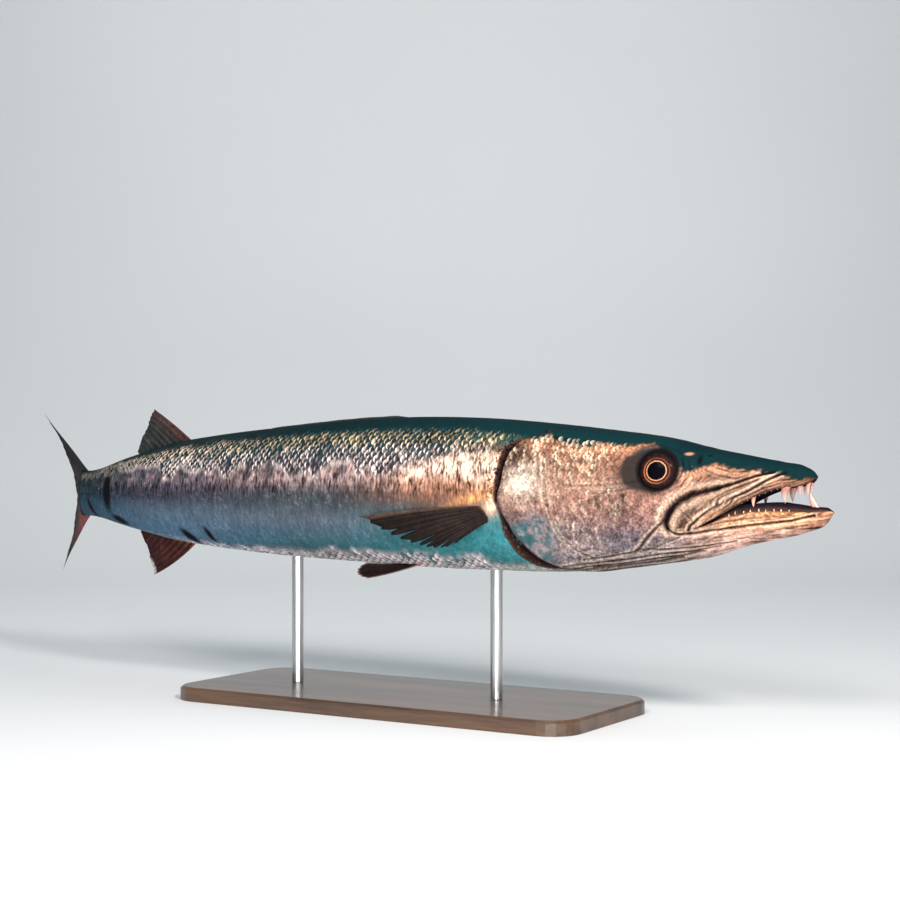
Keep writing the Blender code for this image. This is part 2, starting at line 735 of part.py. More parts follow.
def build_fins(dark, red):
    """Every fin, each cut back to meet the body face to face."""
    made = [folded_dorsal(dark)]
    dorsal = fan(10, (at(697, 0, 48), at(739, 0, 41), at(779, 0, 31)),
                 (at(766, 0, 90), at(777, 0, 70), at(795, 0, 43)), Vector((0.02, 0, 0.05)))
    made.append(fin("second_dorsal_fin", dorsal, dark, 2.6 * MM))
    anal = fan(10, (at(695, 0, -52), at(737, 0, -46), at(774, 0, -37)),
               (at(766, 0, -94), at(769, 0, -74), at(788, 0, -46)), Vector((0.03, 0, -0.10)))
    made.append(fin("anal_fin", anal, red, 2.6 * MM))
    made.append(fin("tail_fin_upper", tail_lobe(1), dark, 3.2 * MM, web=0.4, rows=8))
    made.append(fin("tail_fin_lower", tail_lobe(-1), dark, 3.2 * MM, web=0.4, rows=8))
    for word, side in (("right", -1), ("left", 1)):
        made.append(fin("pectoral_fin_" + word, pectoral(side), dark, 2.6 * MM, notch=0.03))
        made.append(fin("pelvic_fin_" + word, pelvic(side), red, 2.4 * MM))
    solid = body_loft("whole_body", 0.25, STALK_END, TRUNK_STEP, TRUNK_AROUND, lift=GAP)
    for item in made:
        cut(item, solid, keep_tool=True)
    drop(solid)
    return made


def spine_table():
    """Places along the fish, and where the swung spine has them, with its heading there."""
    along = np.linspace(-0.05, 1.30, 1351)
    turn = TAIL_SWING * blend(BEND_START, BEND_START + BEND_LENGTH, along)
    turn -= FIN_FLEX * blend(FIN_FLEX_START, FIN_FLEX_START + FIN_FLEX_LENGTH, along)
    middle = (turn[1:] + turn[:-1]) / 2
    step = np.diff(along)
    x = -np.concatenate([[0], np.cumsum(np.cos(middle) * step)])
    y = np.concatenate([[0], np.cumsum(np.sin(middle) * step)])
    return along, x - np.interp(0, along, x), y - np.interp(0, along, y), turn


def swing_tail(target, table):
    """Moves each point of a straight piece to its place beside the swung spine."""
    along, x, y, turn = table
    for vert in target.data.vertices:
        a, side, height = -vert.co.x, vert.co.y, vert.co.z
        heading = float(np.interp(a, along, turn))
        vert.co = (float(np.interp(a, along, x)) + side * math.sin(heading),
                   float(np.interp(a, along, y)) + side * math.cos(heading), height)


def smooth(target, angle=30):
    target.data.shade_smooth()
    target.data.set_sharp_from_angle(angle=math.radians(angle))


def build_base(finish):
    """A flat plate with round corners and a small bevel."""
    outline = []
    for corner in range(4):
        cx = (BASE_LENGTH / 2 - BASE_CORNER) * (1 if corner in (0, 3) else -1)
        cy = (BASE_WIDTH / 2 - BASE_CORNER) * (1 if corner in (0, 1) else -1)
        for i in range(6):
            turn = math.radians(90 * corner + 18 * i)
            outline.append((cx + BASE_CORNER * math.cos(turn), cy + BASE_CORNER * math.sin(turn)))
    bevel = 2.5 * MM
    rings = []
    for height, inset in ((0, 0), (BASE_THICKNESS - bevel, 0), (BASE_THICKNESS, bevel)):
        rings.append([Vector((x * (1 - inset / (BASE_LENGTH / 2)), y * (1 - inset / (BASE_WIDTH / 2)), height))
                      for x, y in outline])
    return loft("stand_base", rings, finish)


def build_rods(finish, fish):
    """Two rods from the base to the belly, their tops hollowed to fit it."""
    solid = body_loft("whole_body", 0.25, 0.68, TRUNK_STEP, TRUNK_AROUND, lift=GAP)
    solid.parent = fish
    made = []
    for name, along in ROD_ALONG.items():
        rings = []
        for height in (BASE_THICKNESS + GAP, AXIS_HEIGHT - 0.03):
            rings.append([Vector((SNOUT_X - along + ROD_RADIUS * math.cos(2 * math.pi * i / 20),
                                  ROD_RADIUS * math.sin(2 * math.pi * i / 20), height)) for i in range(20)])
        made.append(cut(loft(name, rings, finish), solid, keep_tool=True))
    drop(solid)
    return made


def main():
    for item in list(bpy.data.objects):
        bpy.data.objects.remove(item, do_unlink=True)
    silver = material("skin_silver", (0.52, 0.47, 0.43), 0.32, 0.75)
    jaw = material("jaw_gold", (0.60, 0.46, 0.33), 0.38, 0.5)
    dark = material("fin_dark", (0.045, 0.034, 0.028), 0.5)
    red = material("fin_red", (0.20, 0.065, 0.04), 0.5)
    glass = material("eye_dark", (0.02, 0.014, 0.012), 0.08)
    wood = material("stand_wood", (0.10, 0.055, 0.032), 0.42)
    steel = material("stand_steel", (0.30, 0.30, 0.31), 0.3, 1.0)

    fish = bpy.data.objects.new("fish", None)
    fish.location = (SNOUT_X, 0, AXIS_HEIGHT)
    bpy.context.scene.collection.objects.link(fish)

    pieces = build_head(silver, jaw) + build_trunk(silver) + build_fins(dark, red)
    for word, side in (("right", -1), ("left", 1)):
        pieces.append(eye("eye_" + word, side, finish=glass))
        pieces.append(maxilla("maxilla_" + word, side, finish=jaw))
        pieces.append(gill_cover("gill_cover_" + word, side, finish=silver))
    table = spine_table()
    for piece in pieces:
        swing_tail(piece, table)
        piece.parent = fish
        smooth(piece)
    for rod in build_rods(steel, fish):
        smooth(rod)
    smooth(build_base(wood))


main()
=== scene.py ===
import math

import bmesh
import bpy
import numpy as np
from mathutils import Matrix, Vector


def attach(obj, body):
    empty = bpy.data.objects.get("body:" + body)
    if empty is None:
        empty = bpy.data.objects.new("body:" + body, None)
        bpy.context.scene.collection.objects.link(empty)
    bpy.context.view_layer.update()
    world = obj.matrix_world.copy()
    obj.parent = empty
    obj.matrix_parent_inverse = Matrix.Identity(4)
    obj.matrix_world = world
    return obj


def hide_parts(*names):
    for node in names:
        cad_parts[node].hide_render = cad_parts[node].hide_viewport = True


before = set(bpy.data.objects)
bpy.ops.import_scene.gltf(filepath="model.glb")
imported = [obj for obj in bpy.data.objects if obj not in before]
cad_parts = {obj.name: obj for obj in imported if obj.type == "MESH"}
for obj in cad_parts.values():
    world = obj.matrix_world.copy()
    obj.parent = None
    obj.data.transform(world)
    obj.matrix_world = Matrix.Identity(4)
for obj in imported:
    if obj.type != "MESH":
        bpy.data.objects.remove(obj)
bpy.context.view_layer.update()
rng = np.random.default_rng(7)

# The fish is modelled straight, in millimetres: A is the place behind the snout tip, S the fish's left, H the
# height above the body axis. place() swings the tail and puts every point where the solids have it.
MM, SNOUT_X, AXIS_HEIGHT, LENGTH = 0.001, 0.430, 0.212, 950.0
BEND_START, BEND_LENGTH, TAIL_SWING = 0.72 * LENGTH, 0.32 * LENGTH, math.radians(37.2)
FLEX_START, FLEX_LENGTH, FIN_FLEX = 900.0, 200.0, math.radians(9.0)
EYE_A, EYE_H, EYE_RADIUS, EYE_BULGE, EYE_SINK, EYE_BACK, PUPIL = 140.5, 26.2, 18.4, 8.2, 3.4, 12.0, 8.5
JAW_TIP, SNOUT_TIP, MOUTH_CORNER, THROAT, BODY_END = -13.7, 0.4, 106.0, 122.0, 958.0
NO_LIP = 99.0

# The skin's net: rows along the mouth, spacing over the head, rows over the body, columns of each half and of
# a lining.
MOUTH_ROWS, HEAD_SPACING, HEAD_END, BODY_NET_ROWS = 148, 0.82, 312, 140
UPPER_COLUMNS, LOWER_COLUMNS, LINING_COLUMNS = 76, 52, 26

# Scales: rows round half the body, spacing at full girth, size on the cheek, and the net of one scale.
BODY_ROWS, BODY_PITCH, FULL_GIRTH = 22, 8.0, 208
CHEEK_ROWS, CHEEK_PITCH, CHEEK_LENGTH, CHEEK_WIDTH = 38, 4.6, 6.4, 5.2
SCALE_BACK = np.array([0.0, 0.26, 0.56, 0.82, 0.91, 0.985, 1.0])
SCALE_TAPER = np.array([0.74, 0.98, 1.06, 0.94, 0.78, 0.50, 0.40])
SCALE_ACROSS = np.array([-1.0, -0.96, -0.5, 0.0, 0.5, 0.96, 1.0])
SCALE_TUCK, SCALE_CENTRE = 0.26, 3

# Place, height of the back, depth of the belly, half width.
PROFILE = (
    (-13.7, -8.4, -11.4, 1.4), (-9.0, -5.0, -17.5, 5.4), (-1.5, 13.0, -23.5, 8.4), (2.0, 23.0, -25.2, 9.4),
    (6.0, 27.0, -26.4, 10.2), (12.0, 30.2, -28.4, 11.6), (32.0, 34.2, -33.4, 15.6),
    (60.0, 39.2, -39.6, 21.0), (100.0, 46.8, -52.2, 28.2), (143.0, 56.4, -59.6, 34.6),
    (190.0, 62.6, -66.6, 42.0), (240.0, 68.0, -70.4, 47.6), (323.0, 75.2, -71.8, 53.4),
    (400.0, 77.7, -71.6, 55.2), (475.0, 76.2, -69.2, 54.6), (570.0, 69.6, -66.0, 51.0),
    (665.0, 61.0, -60.0, 44.4), (720.0, 54.0, -54.6, 38.8), (798.0, 37.6, -42.4, 28.0),
    (870.0, 23.6, -33.4, 17.6), (920.0, 20.2, -32.4, 11.6), (958.0, 20.6, -34.0, 5.0),
)
BEHIND_MOUTH = ((106, -25.8), (118, -27.5), (160, -16), (230, -2), (330, 0), (958, 0))
UPPER_LIP = ((-30, 19.6), (1, 19.6), (8, 15.2), (18, 12.8), (30, 11.4), (42, 7.6), (56, 1.8), (68, -4.6),
             (80, -11.6), (96, -20.6)) + BEHIND_MOUTH
LOWER_LIP = ((-30, -8.0), (-12, -8.2), (4, -9.6), (26, -9.4), (49, -9.8), (65, -11.6), (80, -15.8),
             (93, -21.4)) + BEHIND_MOUTH
# Degrees round the section, place of the gill cover's rear edge there, width of the slit behind it.
GILL_EDGE = ((-84, 196, 8), (-75, 214, 20), (-66, 231, 27), (-55, 247, 23.5), (-43, 260, 20.5),
             (-32, 270, 16), (-24, 278, 12.6), (-16, 283, 8.8), (-7, 291, 4.2), (-1, 294.6, 5.2),
             (6, 291.4, 8.0), (20, 288, 9.0), (36, 281, 10.4), (43, 275, 9), (49, 263, 5.0), (56, 252, 2))
MAXILLA_TOP = ((36, 24), (50, 21.2), (65, 15.2), (80, 10.8), (96, 5.6), (112, -1.2), (124, -9), (132, -19))
MAXILLA_LOW = ((36, 22), (49, 15), (64, 7.6), (77, 1.6), (88, -6), (104, -21.4), (116, -30.4), (124, -31),
               (132, -23))

MOUTH_FOLD = ((111, -27.6), (109, -23), (99.8, -14.6), (89.3, -6.7), (75, 1), (58, 8.8), (42.3, 18),
              (33, 22.6), (26, 25))
PREOPERCLE = ((251, 44), (248.5, 30), (247, 15), (246.8, 5.6), (242.6, -11), (235.8, -29), (230, -38),
              (218, -48), (202, -56))
# Creases of the head: points (A, H), half width, depth, darkness of the painted shade in them.
CREASES = (
    (((84, 11), (96, 8), (108.7, 4.6), (117, 0), (123.7, -4.8), (129.6, -14), (132.6, -21), (130, -27)), 2.2,
     2.8, 1.0),
    (((36, 25.6), (43, 24.2), (55, 20.8), (68.4, 15.8), (78, 12.6), (89, 9.8)), 1.0, 1.5, 1.0),
    (((74, 14), (80, 12.2), (89, 9.8)), 1.5, 0.8, 1.0),
    (((106, 6), (117, 0), (123.7, -4.8), (129, -12.6), (131.6, -20)), 3.2, 0.4, 1.0),
    (((132, -23), (129.6, -27), (124, -30.2), (118, -31), (108, -29.6)), 0.9, 1.2, 0.95),
    (((132.6, -18), (142, -27), (150.5, -36), (157, -43.6), (163, -49)), 1.1, 1.3, 0.85),
    (((131, -10), (139, -19), (148, -27), (154, -33)), 0.7, 0.4, 0.35),
    (MOUTH_FOLD, 0.95, 1.1, 0.9),
    (((104, -12), (92, -1), (76, 8.2), (60, 14.2), (48, 19.4)), 0.6, 0.5, 0.5),
    (((98, -20.6), (86, -11.6), (72, -2.4), (56, 5.4), (44, 11.4), (30, 15.6)), 0.6, 0.5, 0.5),
    (((118, -8), (108, -17), (104, -23)), 0.7, 0.5, 0.35),
    (((1, -12.2), (20, -17.2), (41, -20.2), (58, -22.2), (76, -25), (90, -27.1), (100, -28.6), (112, -31)),
     0.9, 1.5, 0.9),
    (((100.4, -24), (90, -21.6), (76, -18.4), (62, -16.4), (46, -15)), 0.6, 0.6, 0.6),
    (((8, -21), (30, -25), (56, -28.6), (84, -32.8), (108, -36)), 0.6, 0.4, 0.3),
    (PREOPERCLE, 0.8, 0.8, 0.46),
    (((247, 8), (246.4, 0), (244, -6)), 1.6, 0.7, 0.7),
    (((236, 30), (232, 10), (230, -12), (224, -30), (212, -42)), 0.8, 0.4, 0.2),
    (((158, 16), (186, 12.6), (212, 12), (228, 12)), 0.9, 0.6, 0.45),
    (((160, 10.6), (180, 7), (204, 5)), 0.8, 0.5, 0.35),
    (((70, -36.5), (95, -41), (121, -44), (138, -45.4), (152, -45.4), (180, -52), (214, -57)), 0.7, 1.1,
     0.72),
    (((84, -40.8), (110, -46.4), (138, -49.4), (170, -55), (204, -60), (236, -63)), 0.7, 1.1, 0.72),
    (((100, -46), (120, -50.6), (142, -53.6), (175, -59.6), (212, -63.6), (244, -66)), 0.75, 1.2, 0.8),
    (((120, -52), (150, -57.4), (184, -62.4), (224, -66.4), (252, -68)), 0.7, 1.0, 0.75),
    (((150, -60), (186, -65), (224, -68.4), (256, -69.6)), 0.6, 0.6, 0.6),
    (((120, -34), (136, -40), (152, -47), (176, -51)), 0.6, 0.5, 0.5),
    (((128, -33), (140, -42), (150, -50)), 0.6, 0.5, 0.4),
    (((119, 41), (128, 45.6), (140, 48.6), (152, 47.4), (163, 41.4)), 0.9, 0.6, 0.4),
    (((118.4, 37), (116, 30), (117.4, 22), (121.6, 15)), 0.7, 0.5, 0.8),
    (((112.6, 35), (109.6, 28), (111.6, 20), (117, 13)), 0.6, 0.4, 0.55),
    (((118, 32), (113, 22), (117, 12), (126, 4)), 0.7, 0.5, 0.45),
    (((112, 30), (106, 20), (112, 11), (122, 3)), 0.6, 0.4, 0.35),
    (((104, 30), (99, 20), (106, 12), (116, 6)), 0.6, 0.4, 0.3),
    (((96, 27), (84, 22), (68, 19.4), (54, 24)), 0.7, 0.5, 0.4),
    (((88, 29), (74, 25.4), (60, 25.6)), 0.6, 0.4, 0.35),
    (((18, 19.4), (30, 18.4), (42, 14.2)), 0.6, 0.4, 0.4),
)
CREASES_END = 275
# Place, height and half sizes.
NOSTRILS = ((103.2, 36.4, 1.9, 4.4), (94.8, 40.2, 1.5, 1.1))
# Lower edge of the dark crown, and the lateral line.
CROWN = ((-20, 20), (0, 20.5), (20, 21.5), (45, 24.5), (60, 27), (75, 30), (84, 33), (92, 32.4), (99, 30.6),
         (106, 28.4), (113, 28), (119, 30), (126, 36.5), (133, 43.5), (140, 48), (165, 47.5), (200, 50),
         (240, 54), (300, 61), (340, 66))
LATERAL_LINE = ((300, 0), (380, 1.6), (460, 4), (523, 7), (616, 5), (715, -3), (800, -5), (950, -7))
# Dark marks: place, height, half sizes, slant.
BLOTCHES = ((817, -1, 8.5, 22, 0), (872, -22, 9, 8, 0.83), (801, -33, 13, 4.4, 0.23),
            (688.5, -48.6, 10, 6.4, 0.64), (657, -45, 4.8, 6.2, 1.1), (742, -55, 6, 2.0, 0.3))

# Colours are (red, green, blue) from 0 to 255; bands of them are (place, red, green, blue).
TEAL, DEEP_TEAL, BLACK, ORBIT = (7, 40, 43), (5, 31, 37), (12, 9, 11), (40, 35, 32)
# Four stations along the flank, each from the belly at -1 to the back at 1; the first's pale band at 0.34 is
# painted highlight.
FLANK = (
    (340, ((-1, 160, 178, 176), (-0.93, 190, 188, 182), (-0.85, 58, 124, 128), (-0.5, 54, 124, 130),
           (-0.3, 66, 110, 112), (-0.16, 96, 80, 74), (0.0, 134, 92, 72), (0.15, 164, 118, 94),
           (0.34, 250, 206, 182), (0.46, 216, 172, 146), (0.58, 112, 94, 80), (0.72, 44, 68, 62),
           (0.84, *TEAL), (1, *DEEP_TEAL))),
    (500, ((-1, 160, 168, 166), (-0.93, 180, 168, 166), (-0.86, 104, 118, 126), (-0.8, 52, 97, 105),
           (-0.62, 71, 100, 113), (-0.4, 89, 97, 108), (-0.2, 68, 76, 82), (-0.02, 62, 66, 70),
           (0.08, 110, 96, 96), (0.2, 160, 132, 130), (0.36, 162, 137, 134), (0.5, 110, 100, 104),
           (0.72, 40, 64, 62), (0.84, *TEAL), (1, *DEEP_TEAL))),
    (720, ((-1, 130, 150, 164), (-0.85, 80, 114, 140), (-0.4, 84, 103, 121), (-0.1, 60, 60, 72),
           (0.1, 62, 57, 68), (0.32, 122, 105, 111), (0.5, 106, 101, 108), (0.78, 36, 50, 50),
           (1, 22, 38, 38))),
    (880, ((-1, 58, 88, 106), (-0.4, 42, 78, 98), (0.0, 28, 54, 68), (0.4, 40, 56, 60), (0.8, 36, 50, 50),
           (1, 20, 34, 36))),
)
# Head and jaws, by height in millimetres.
HEAD_BANDS = ((-80, 156, 154, 152), (-66, 154, 142, 138), (-52, 126, 121, 126), (-36, 119, 106, 112),
              (-10, 166, 122, 110), (10, 178, 128, 110), (30, 170, 118, 98), (44, 158, 104, 82),
              (70, 160, 106, 82))
JAW_BANDS = ((-60, 206, 164, 154), (-40, 216, 172, 158), (-26, 206, 156, 138), (-19, 198, 142, 106),
             (-8, 192, 136, 94), (0, 146, 100, 78), (14, 128, 86, 66), (24, 128, 84, 64), (34, 120, 78, 58))
# Iris and its surround, by distance from the pupil's centre.
EYE_BANDS = ((0, 3, 3, 5), (PUPIL - 0.2, 4, 3, 6), (PUPIL + 0.2, 140, 92, 66), (PUPIL + 0.55, 226, 180, 140),
             (PUPIL + 0.9, 140, 78, 54), (PUPIL + 1.25, 44, 22, 20), (PUPIL + 2.2, 34, 18, 17),
             (13.0, 32, 19, 18), (15.2, 26, 17, 16), (16.4, 16, 11, 12), (18.4, 10, 8, 9))
# How far in, up onto the gum and down into the mouth each line of a jaw's lining runs from the lip.
LINING = ((0.0, 0.0, 0.0), (1.2, 0.0, 0.9), (2.4, 0.0, 1.2), (3.3, 0.7, 0.2), (4.4, 1.0, 0.0),
          (5.6, 1.0, 0.0), (6.8, 0.55, 0.6), (8.2, 0.0, 2.0), (10.0, 0.0, 5.0))


def curve(points, at):
    """Smooth curve through points (place, value)."""
    x, y = np.array(points, float).T
    at = np.clip(np.asarray(at, float), x[0], x[-1])
    steep = np.diff(y) / np.diff(x)
    before, after = np.diff(x)[:-1], np.diff(x)[1:]
    inner = (steep[:-1] * after + steep[1:] * before) / (before + after)
    slope = np.concatenate([steep[:1], inner, steep[-1:]])
    i = np.clip(np.searchsorted(x, at, side="right") - 1, 0, len(x) - 2)
    width = x[i + 1] - x[i]
    t = (at - x[i]) / width
    return ((1 + 2 * t) * (1 - t) ** 2 * y[i] + t * (1 - t) ** 2 * width * slope[i]
            + t * t * (3 - 2 * t) * y[i + 1] + t * t * (t - 1) * width * slope[i + 1])


def step(low, high, value):
    t = np.clip((np.asarray(value, float) - low) / (high - low), 0, 1)
    return t * t * (3 - 2 * t)


def bell(x, centre, width):
    return np.exp(-(((x - centre) / width) ** 2))


def blob(a, h, middle_a, middle_h, half_a, half_h, power=1):
    """1 in the middle of an oval spot, fading outwards, with a harder edge for a higher power."""
    return np.exp(-((((a - middle_a) / half_a) ** 2 + ((h - middle_h) / half_h) ** 2) ** power))


def column(table, k, at):
    return curve([(row[0], row[k]) for row in table], at)


def section(a):
    """Middle and half of the height of the body's section."""
    back, belly = column(PROFILE, 1, a), column(PROFILE, 2, a)
    return (back + belly) / 2, (back - belly) / 2


def up(a, h):
    """Height on the section, from -1 at the belly to 1 at the back."""
    middle, tall = section(a)
    return (h - middle) / tall


def half_width(a, h):
    blunt = -0.5 * np.exp(-np.maximum(a, 0) / 6)
    return column(PROFILE, 3, a) * (1 + blunt * step(-5, 12, h))


def squareness(a):
    return 2.7 - 0.5 * step(220, 360, a)


def turn_at(a, h):
    """Angle round the section at which the left side reaches a height."""
    ratio = np.clip(up(a, h), -1, 1)
    return np.arcsin(np.sign(ratio) * np.abs(ratio) ** (squareness(a) / 2))


def shell(a, turn):
    """Side, height and normal of the plain body at an angle round its section."""
    middle, tall = section(a)
    power = 2 / squareness(a)
    c, s = np.cos(turn), np.sin(turn)
    h = middle + tall * np.sign(s) * np.abs(s) ** power
    wide = half_width(a, h)
    side = wide * np.sign(c) * np.abs(c) ** power
    ny, nz = c / np.maximum(wide, 1), s / np.maximum(tall, 1)
    size = np.hypot(ny, nz)
    return side, h, ny / size, nz / size


def side_at(a, h):
    return float(shell(np.array(a), turn_at(np.array(a), np.array(h)))[0])


def to_line(a, h, points):
    """Distance from each point to a line of (A, H) points."""
    best = np.full(np.shape(a), 1e6)
    for (x0, y0), (x1, y1) in zip(points[:-1], points[1:]):
        dx, dy = x1 - x0, y1 - y0
        t = np.clip(((a - x0) * dx + (h - y0) * dy) / (dx * dx + dy * dy), 0, 1)
        best = np.minimum(best, np.hypot(a - x0 - t * dx, h - y0 - t * dy))
    return best


def wave(x, y, z, seed, size):
    """Smooth wandering number from -1 to 1, made of a few sines, features about size across."""
    made = 0.0
    for i in range(4):
        k = seed * 1.7 + i * 2.3
        p, q, r = math.sin(k) + 0.3, math.cos(1.3 * k) + 0.2, math.sin(2.1 * k + 1)
        made = made + np.sin((p * x + q * y + r * z) * 3.1 / size * (1 + 0.37 * i) + k * 5)
    return made / 4


def speckle(x, y, seed, size, tall=1.0):
    """Random number from -1 to 1 that changes smoothly over cells about size long and tall times as high."""
    table = np.random.default_rng(seed).uniform(-1, 1, (128, 128))
    u, v = np.asarray(x, float) / size, np.asarray(y, float) / (size * tall)
    i, j = np.floor(u).astype(int), np.floor(v).astype(int)
    fu, fv = step(0, 1, u - i), step(0, 1, v - j)
    low = table[i % 128, j % 128] * (1 - fu) + table[(i + 1) % 128, j % 128] * fu
    high = table[i % 128, (j + 1) % 128] * (1 - fu) + table[(i + 1) % 128, (j + 1) % 128] * fu
    return low * (1 - fv) + high * fv


def gill_place(a, turn):
    """How far behind the gill cover's edge a point is, the slit's width there and the edge's strength."""
    deg = np.degrees(turn)
    strong = step(-86, -76, deg) * (1 - step(58, 68, deg))
    return a - column(GILL_EDGE, 1, deg), column(GILL_EDGE, 2, deg), strong


def creased(a, h):
    """Depth of the head's creases, the darkness of the painted shade in them, and the painted highlight on
    their raised lips.
    """
    depth, dark, light = np.zeros(np.shape(a)), np.zeros(np.shape(a)), np.zeros(np.shape(a))
    for points, width, deep, darkness in CREASES:
        d = np.where(a < CREASES_END, to_line(a, h, points), NO_LIP)
        depth += deep * bell(d, 0, width)
        dark = np.maximum(dark, darkness * np.exp(-((d / (1.15 * width)) ** 2.6)))
        light = np.maximum(light, darkness * bell(d, 2.5 * width, 0.9 * width))
    return depth, dark, light


def in_maxilla(a, h):
    """1 on the blade of the maxilla, fading at its edge."""
    inside = np.minimum(curve(MAXILLA_TOP, a) - h, h - curve(MAXILLA_LOW, a))
    return step(-0.6, 1.2, inside) * step(34, 40, a) * (1 - step(130, 133, a))


def relief(a, h, turn, lip):
    """How far the real surface stands off the plain body; lip is the distance from the lip's edge."""
    behind, slit, strong = gill_place(a, turn)
    made = 2.3 * strong * step(-34, -2, behind) * (1 - step(-1.2, 0.8, behind))
    made -= 2.4 * strong * step(-0.4, 1.2, behind) * (1 - step(0.4 * slit, slit + 3, behind))
    made -= creased(a, h)[0]
    made += 0.9 * in_maxilla(a, h)
    from_eye = np.hypot(a - EYE_A, h - EYE_H)
    made -= 7.5 * (1 - step(12, 17.6, from_eye))
    made += 0.3 * bell(from_eye, 21.5, 3.0)
    made += 1.2 * blob(a, h, 152, 48, 30, 6)
    for nostril in NOSTRILS:
        made -= 2.6 * blob(a, h, *nostril, 1.5)
    made += 0.8 * bell(lip, 2.6, 2.0) * (1 - step(88, 104, a))
    rounding = 1 - np.sqrt(np.clip(1 - (1 - np.clip(lip / 1.6, 0, 1)) ** 2, 0, 1))
    made -= 1.5 * rounding * (1 - step(98, 106, a))
    made += 0.16 * (1 - step(285, 330, a)) * step(-5, 30, a) * wave(a, h, 0, 3, 9)
    made += 0.25 * (1 - step(60, 140, a)) * wave(a, h * 1.6, 0, 5, 14)
    return made


table_a = np.linspace(-60, 1300, 2721)
heading = TAIL_SWING * step(BEND_START, BEND_START + BEND_LENGTH, table_a)
heading -= FIN_FLEX * step(FLEX_START, FLEX_START + FLEX_LENGTH, table_a)
between = (heading[1:] + heading[:-1]) / 2
table_x = -np.concatenate([[0], np.cumsum(np.cos(between) * np.diff(table_a))])
table_y = np.concatenate([[0], np.cumsum(np.sin(between) * np.diff(table_a))])
table_x -= np.interp(0, table_a, table_x)
table_y -= np.interp(0, table_a, table_y)


def place(points):
    """Points (A, S, H) in millimetres to the solids' frame in metres, with the tail swung."""
    a, s, h = points.T
    turn = np.interp(a, table_a, heading)
    x = np.interp(a, table_a, table_x) + s * np.sin(turn)
    y = np.interp(a, table_a, table_y) + s * np.cos(turn)
    return np.stack([SNOUT_X + x * MM, y * MM, AXIS_HEIGHT + h * MM], 1)


def linear(colour):
    """A colour from 0 to 255 as the shader takes it; arrays are so already."""
    if not isinstance(colour, tuple):
        return colour
    c = np.array(colour, float) / 255
    return np.where(c <= 0.04045, c / 12.92, ((c + 0.055) / 1.055) ** 2.4)


def mix(one, two, share):
    return linear(one) * (1 - share[..., None]) + linear(two) * share[..., None]


def lay(base, *layers):
    """Colours laid over a base in turn, each (colour, share)."""
    for colour, share in layers:
        base = mix(base, colour, share)
    return base


def bands(rows, t):
    """Colours blended in order through rising places."""
    places, colours = [row[0] for row in rows], [linear(tuple(row[1:])) for row in rows]
    return np.stack([np.interp(t, places, [c[k] for c in colours]) for k in range(3)], -1)


def bars(a, t):
    """Dark slanted bars across the upper flank."""
    phase = (a + 16 * t + 5 * speckle(a, 0 * a, 61, 30)) / 31.5
    bar = step(0.45, 0.95, 0.5 + 0.5 * np.cos(2 * np.pi * phase))
    bar = bar * step(330, 520, a) * (1 - step(900, 940, a))
    return bar * step(0.02, 0.3, t) * (1 - 0.75 * step(0.5, 0.72, t)) * (1 - step(0.82, 0.93, t))


def glint_zones(a, t):
    """Where glints are painted on the scales' rear edges, on the upper flank and along the belly, and where
    it is calm.
    """
    low = 0.46 - 0.24 * step(310, 430, a) + 0.11 * step(560, 760, a) + 0.24 * step(710, 850, a)
    low = low + 0.14 * speckle(a, 0 * a, 62, 11) * step(360, 460, a)
    tail = step(740, 860, a)
    rising = step(low, low + 0.14, t)
    upper = rising * (1 - step(0.74, 0.86, t - 0.1 * tail + 0.04 * speckle(a, t * 60, 63, 6)))
    upper = upper * (1 - 0.55 * tail)
    belly = 1 - step(-0.90, -0.73, t + 0.13 * step(430, 580, a) + 0.05 * speckle(a, 0 * a, 64, 7))
    belly = belly * step(300, 330, a) * (1 - step(640, 760, a))
    return upper, belly, (1 - rising) * (1 - belly)


def marked(a, h, colour):
    """The dark blotches, laid over skin and scales alike."""
    for middle_a, middle_h, half_a, half_h, slant in BLOTCHES:
        spot = blob(a, h - slant * (a - middle_a), middle_a, middle_h, half_a, half_h, 2)
        colour = mix(colour, (12, 8, 14), 0.97 * spot)
    return mix(colour, (14, 15, 18), 0.9 * step(925, 952, a))


def flank_paint(a, h, t):
    at = t + 0.03 * wave(a, h, 0, 2, 60) + 0.012 * wave(a, h, 0, 12, 6)
    colour = bands(FLANK[0][1], at)
    for (before, _), (after, rows) in zip(FLANK[:-1], FLANK[1:]):
        colour = mix(colour, bands(rows, at), step(before, after, a))
    colour = mix(colour, (34, 48, 58), 0.7 * bars(a, t))
    rear = step(360, 460, a)
    return colour * (1 - 0.12 * step(0.1, -0.3, t) * (1 - rear) - 0.20 * rear)[..., None]


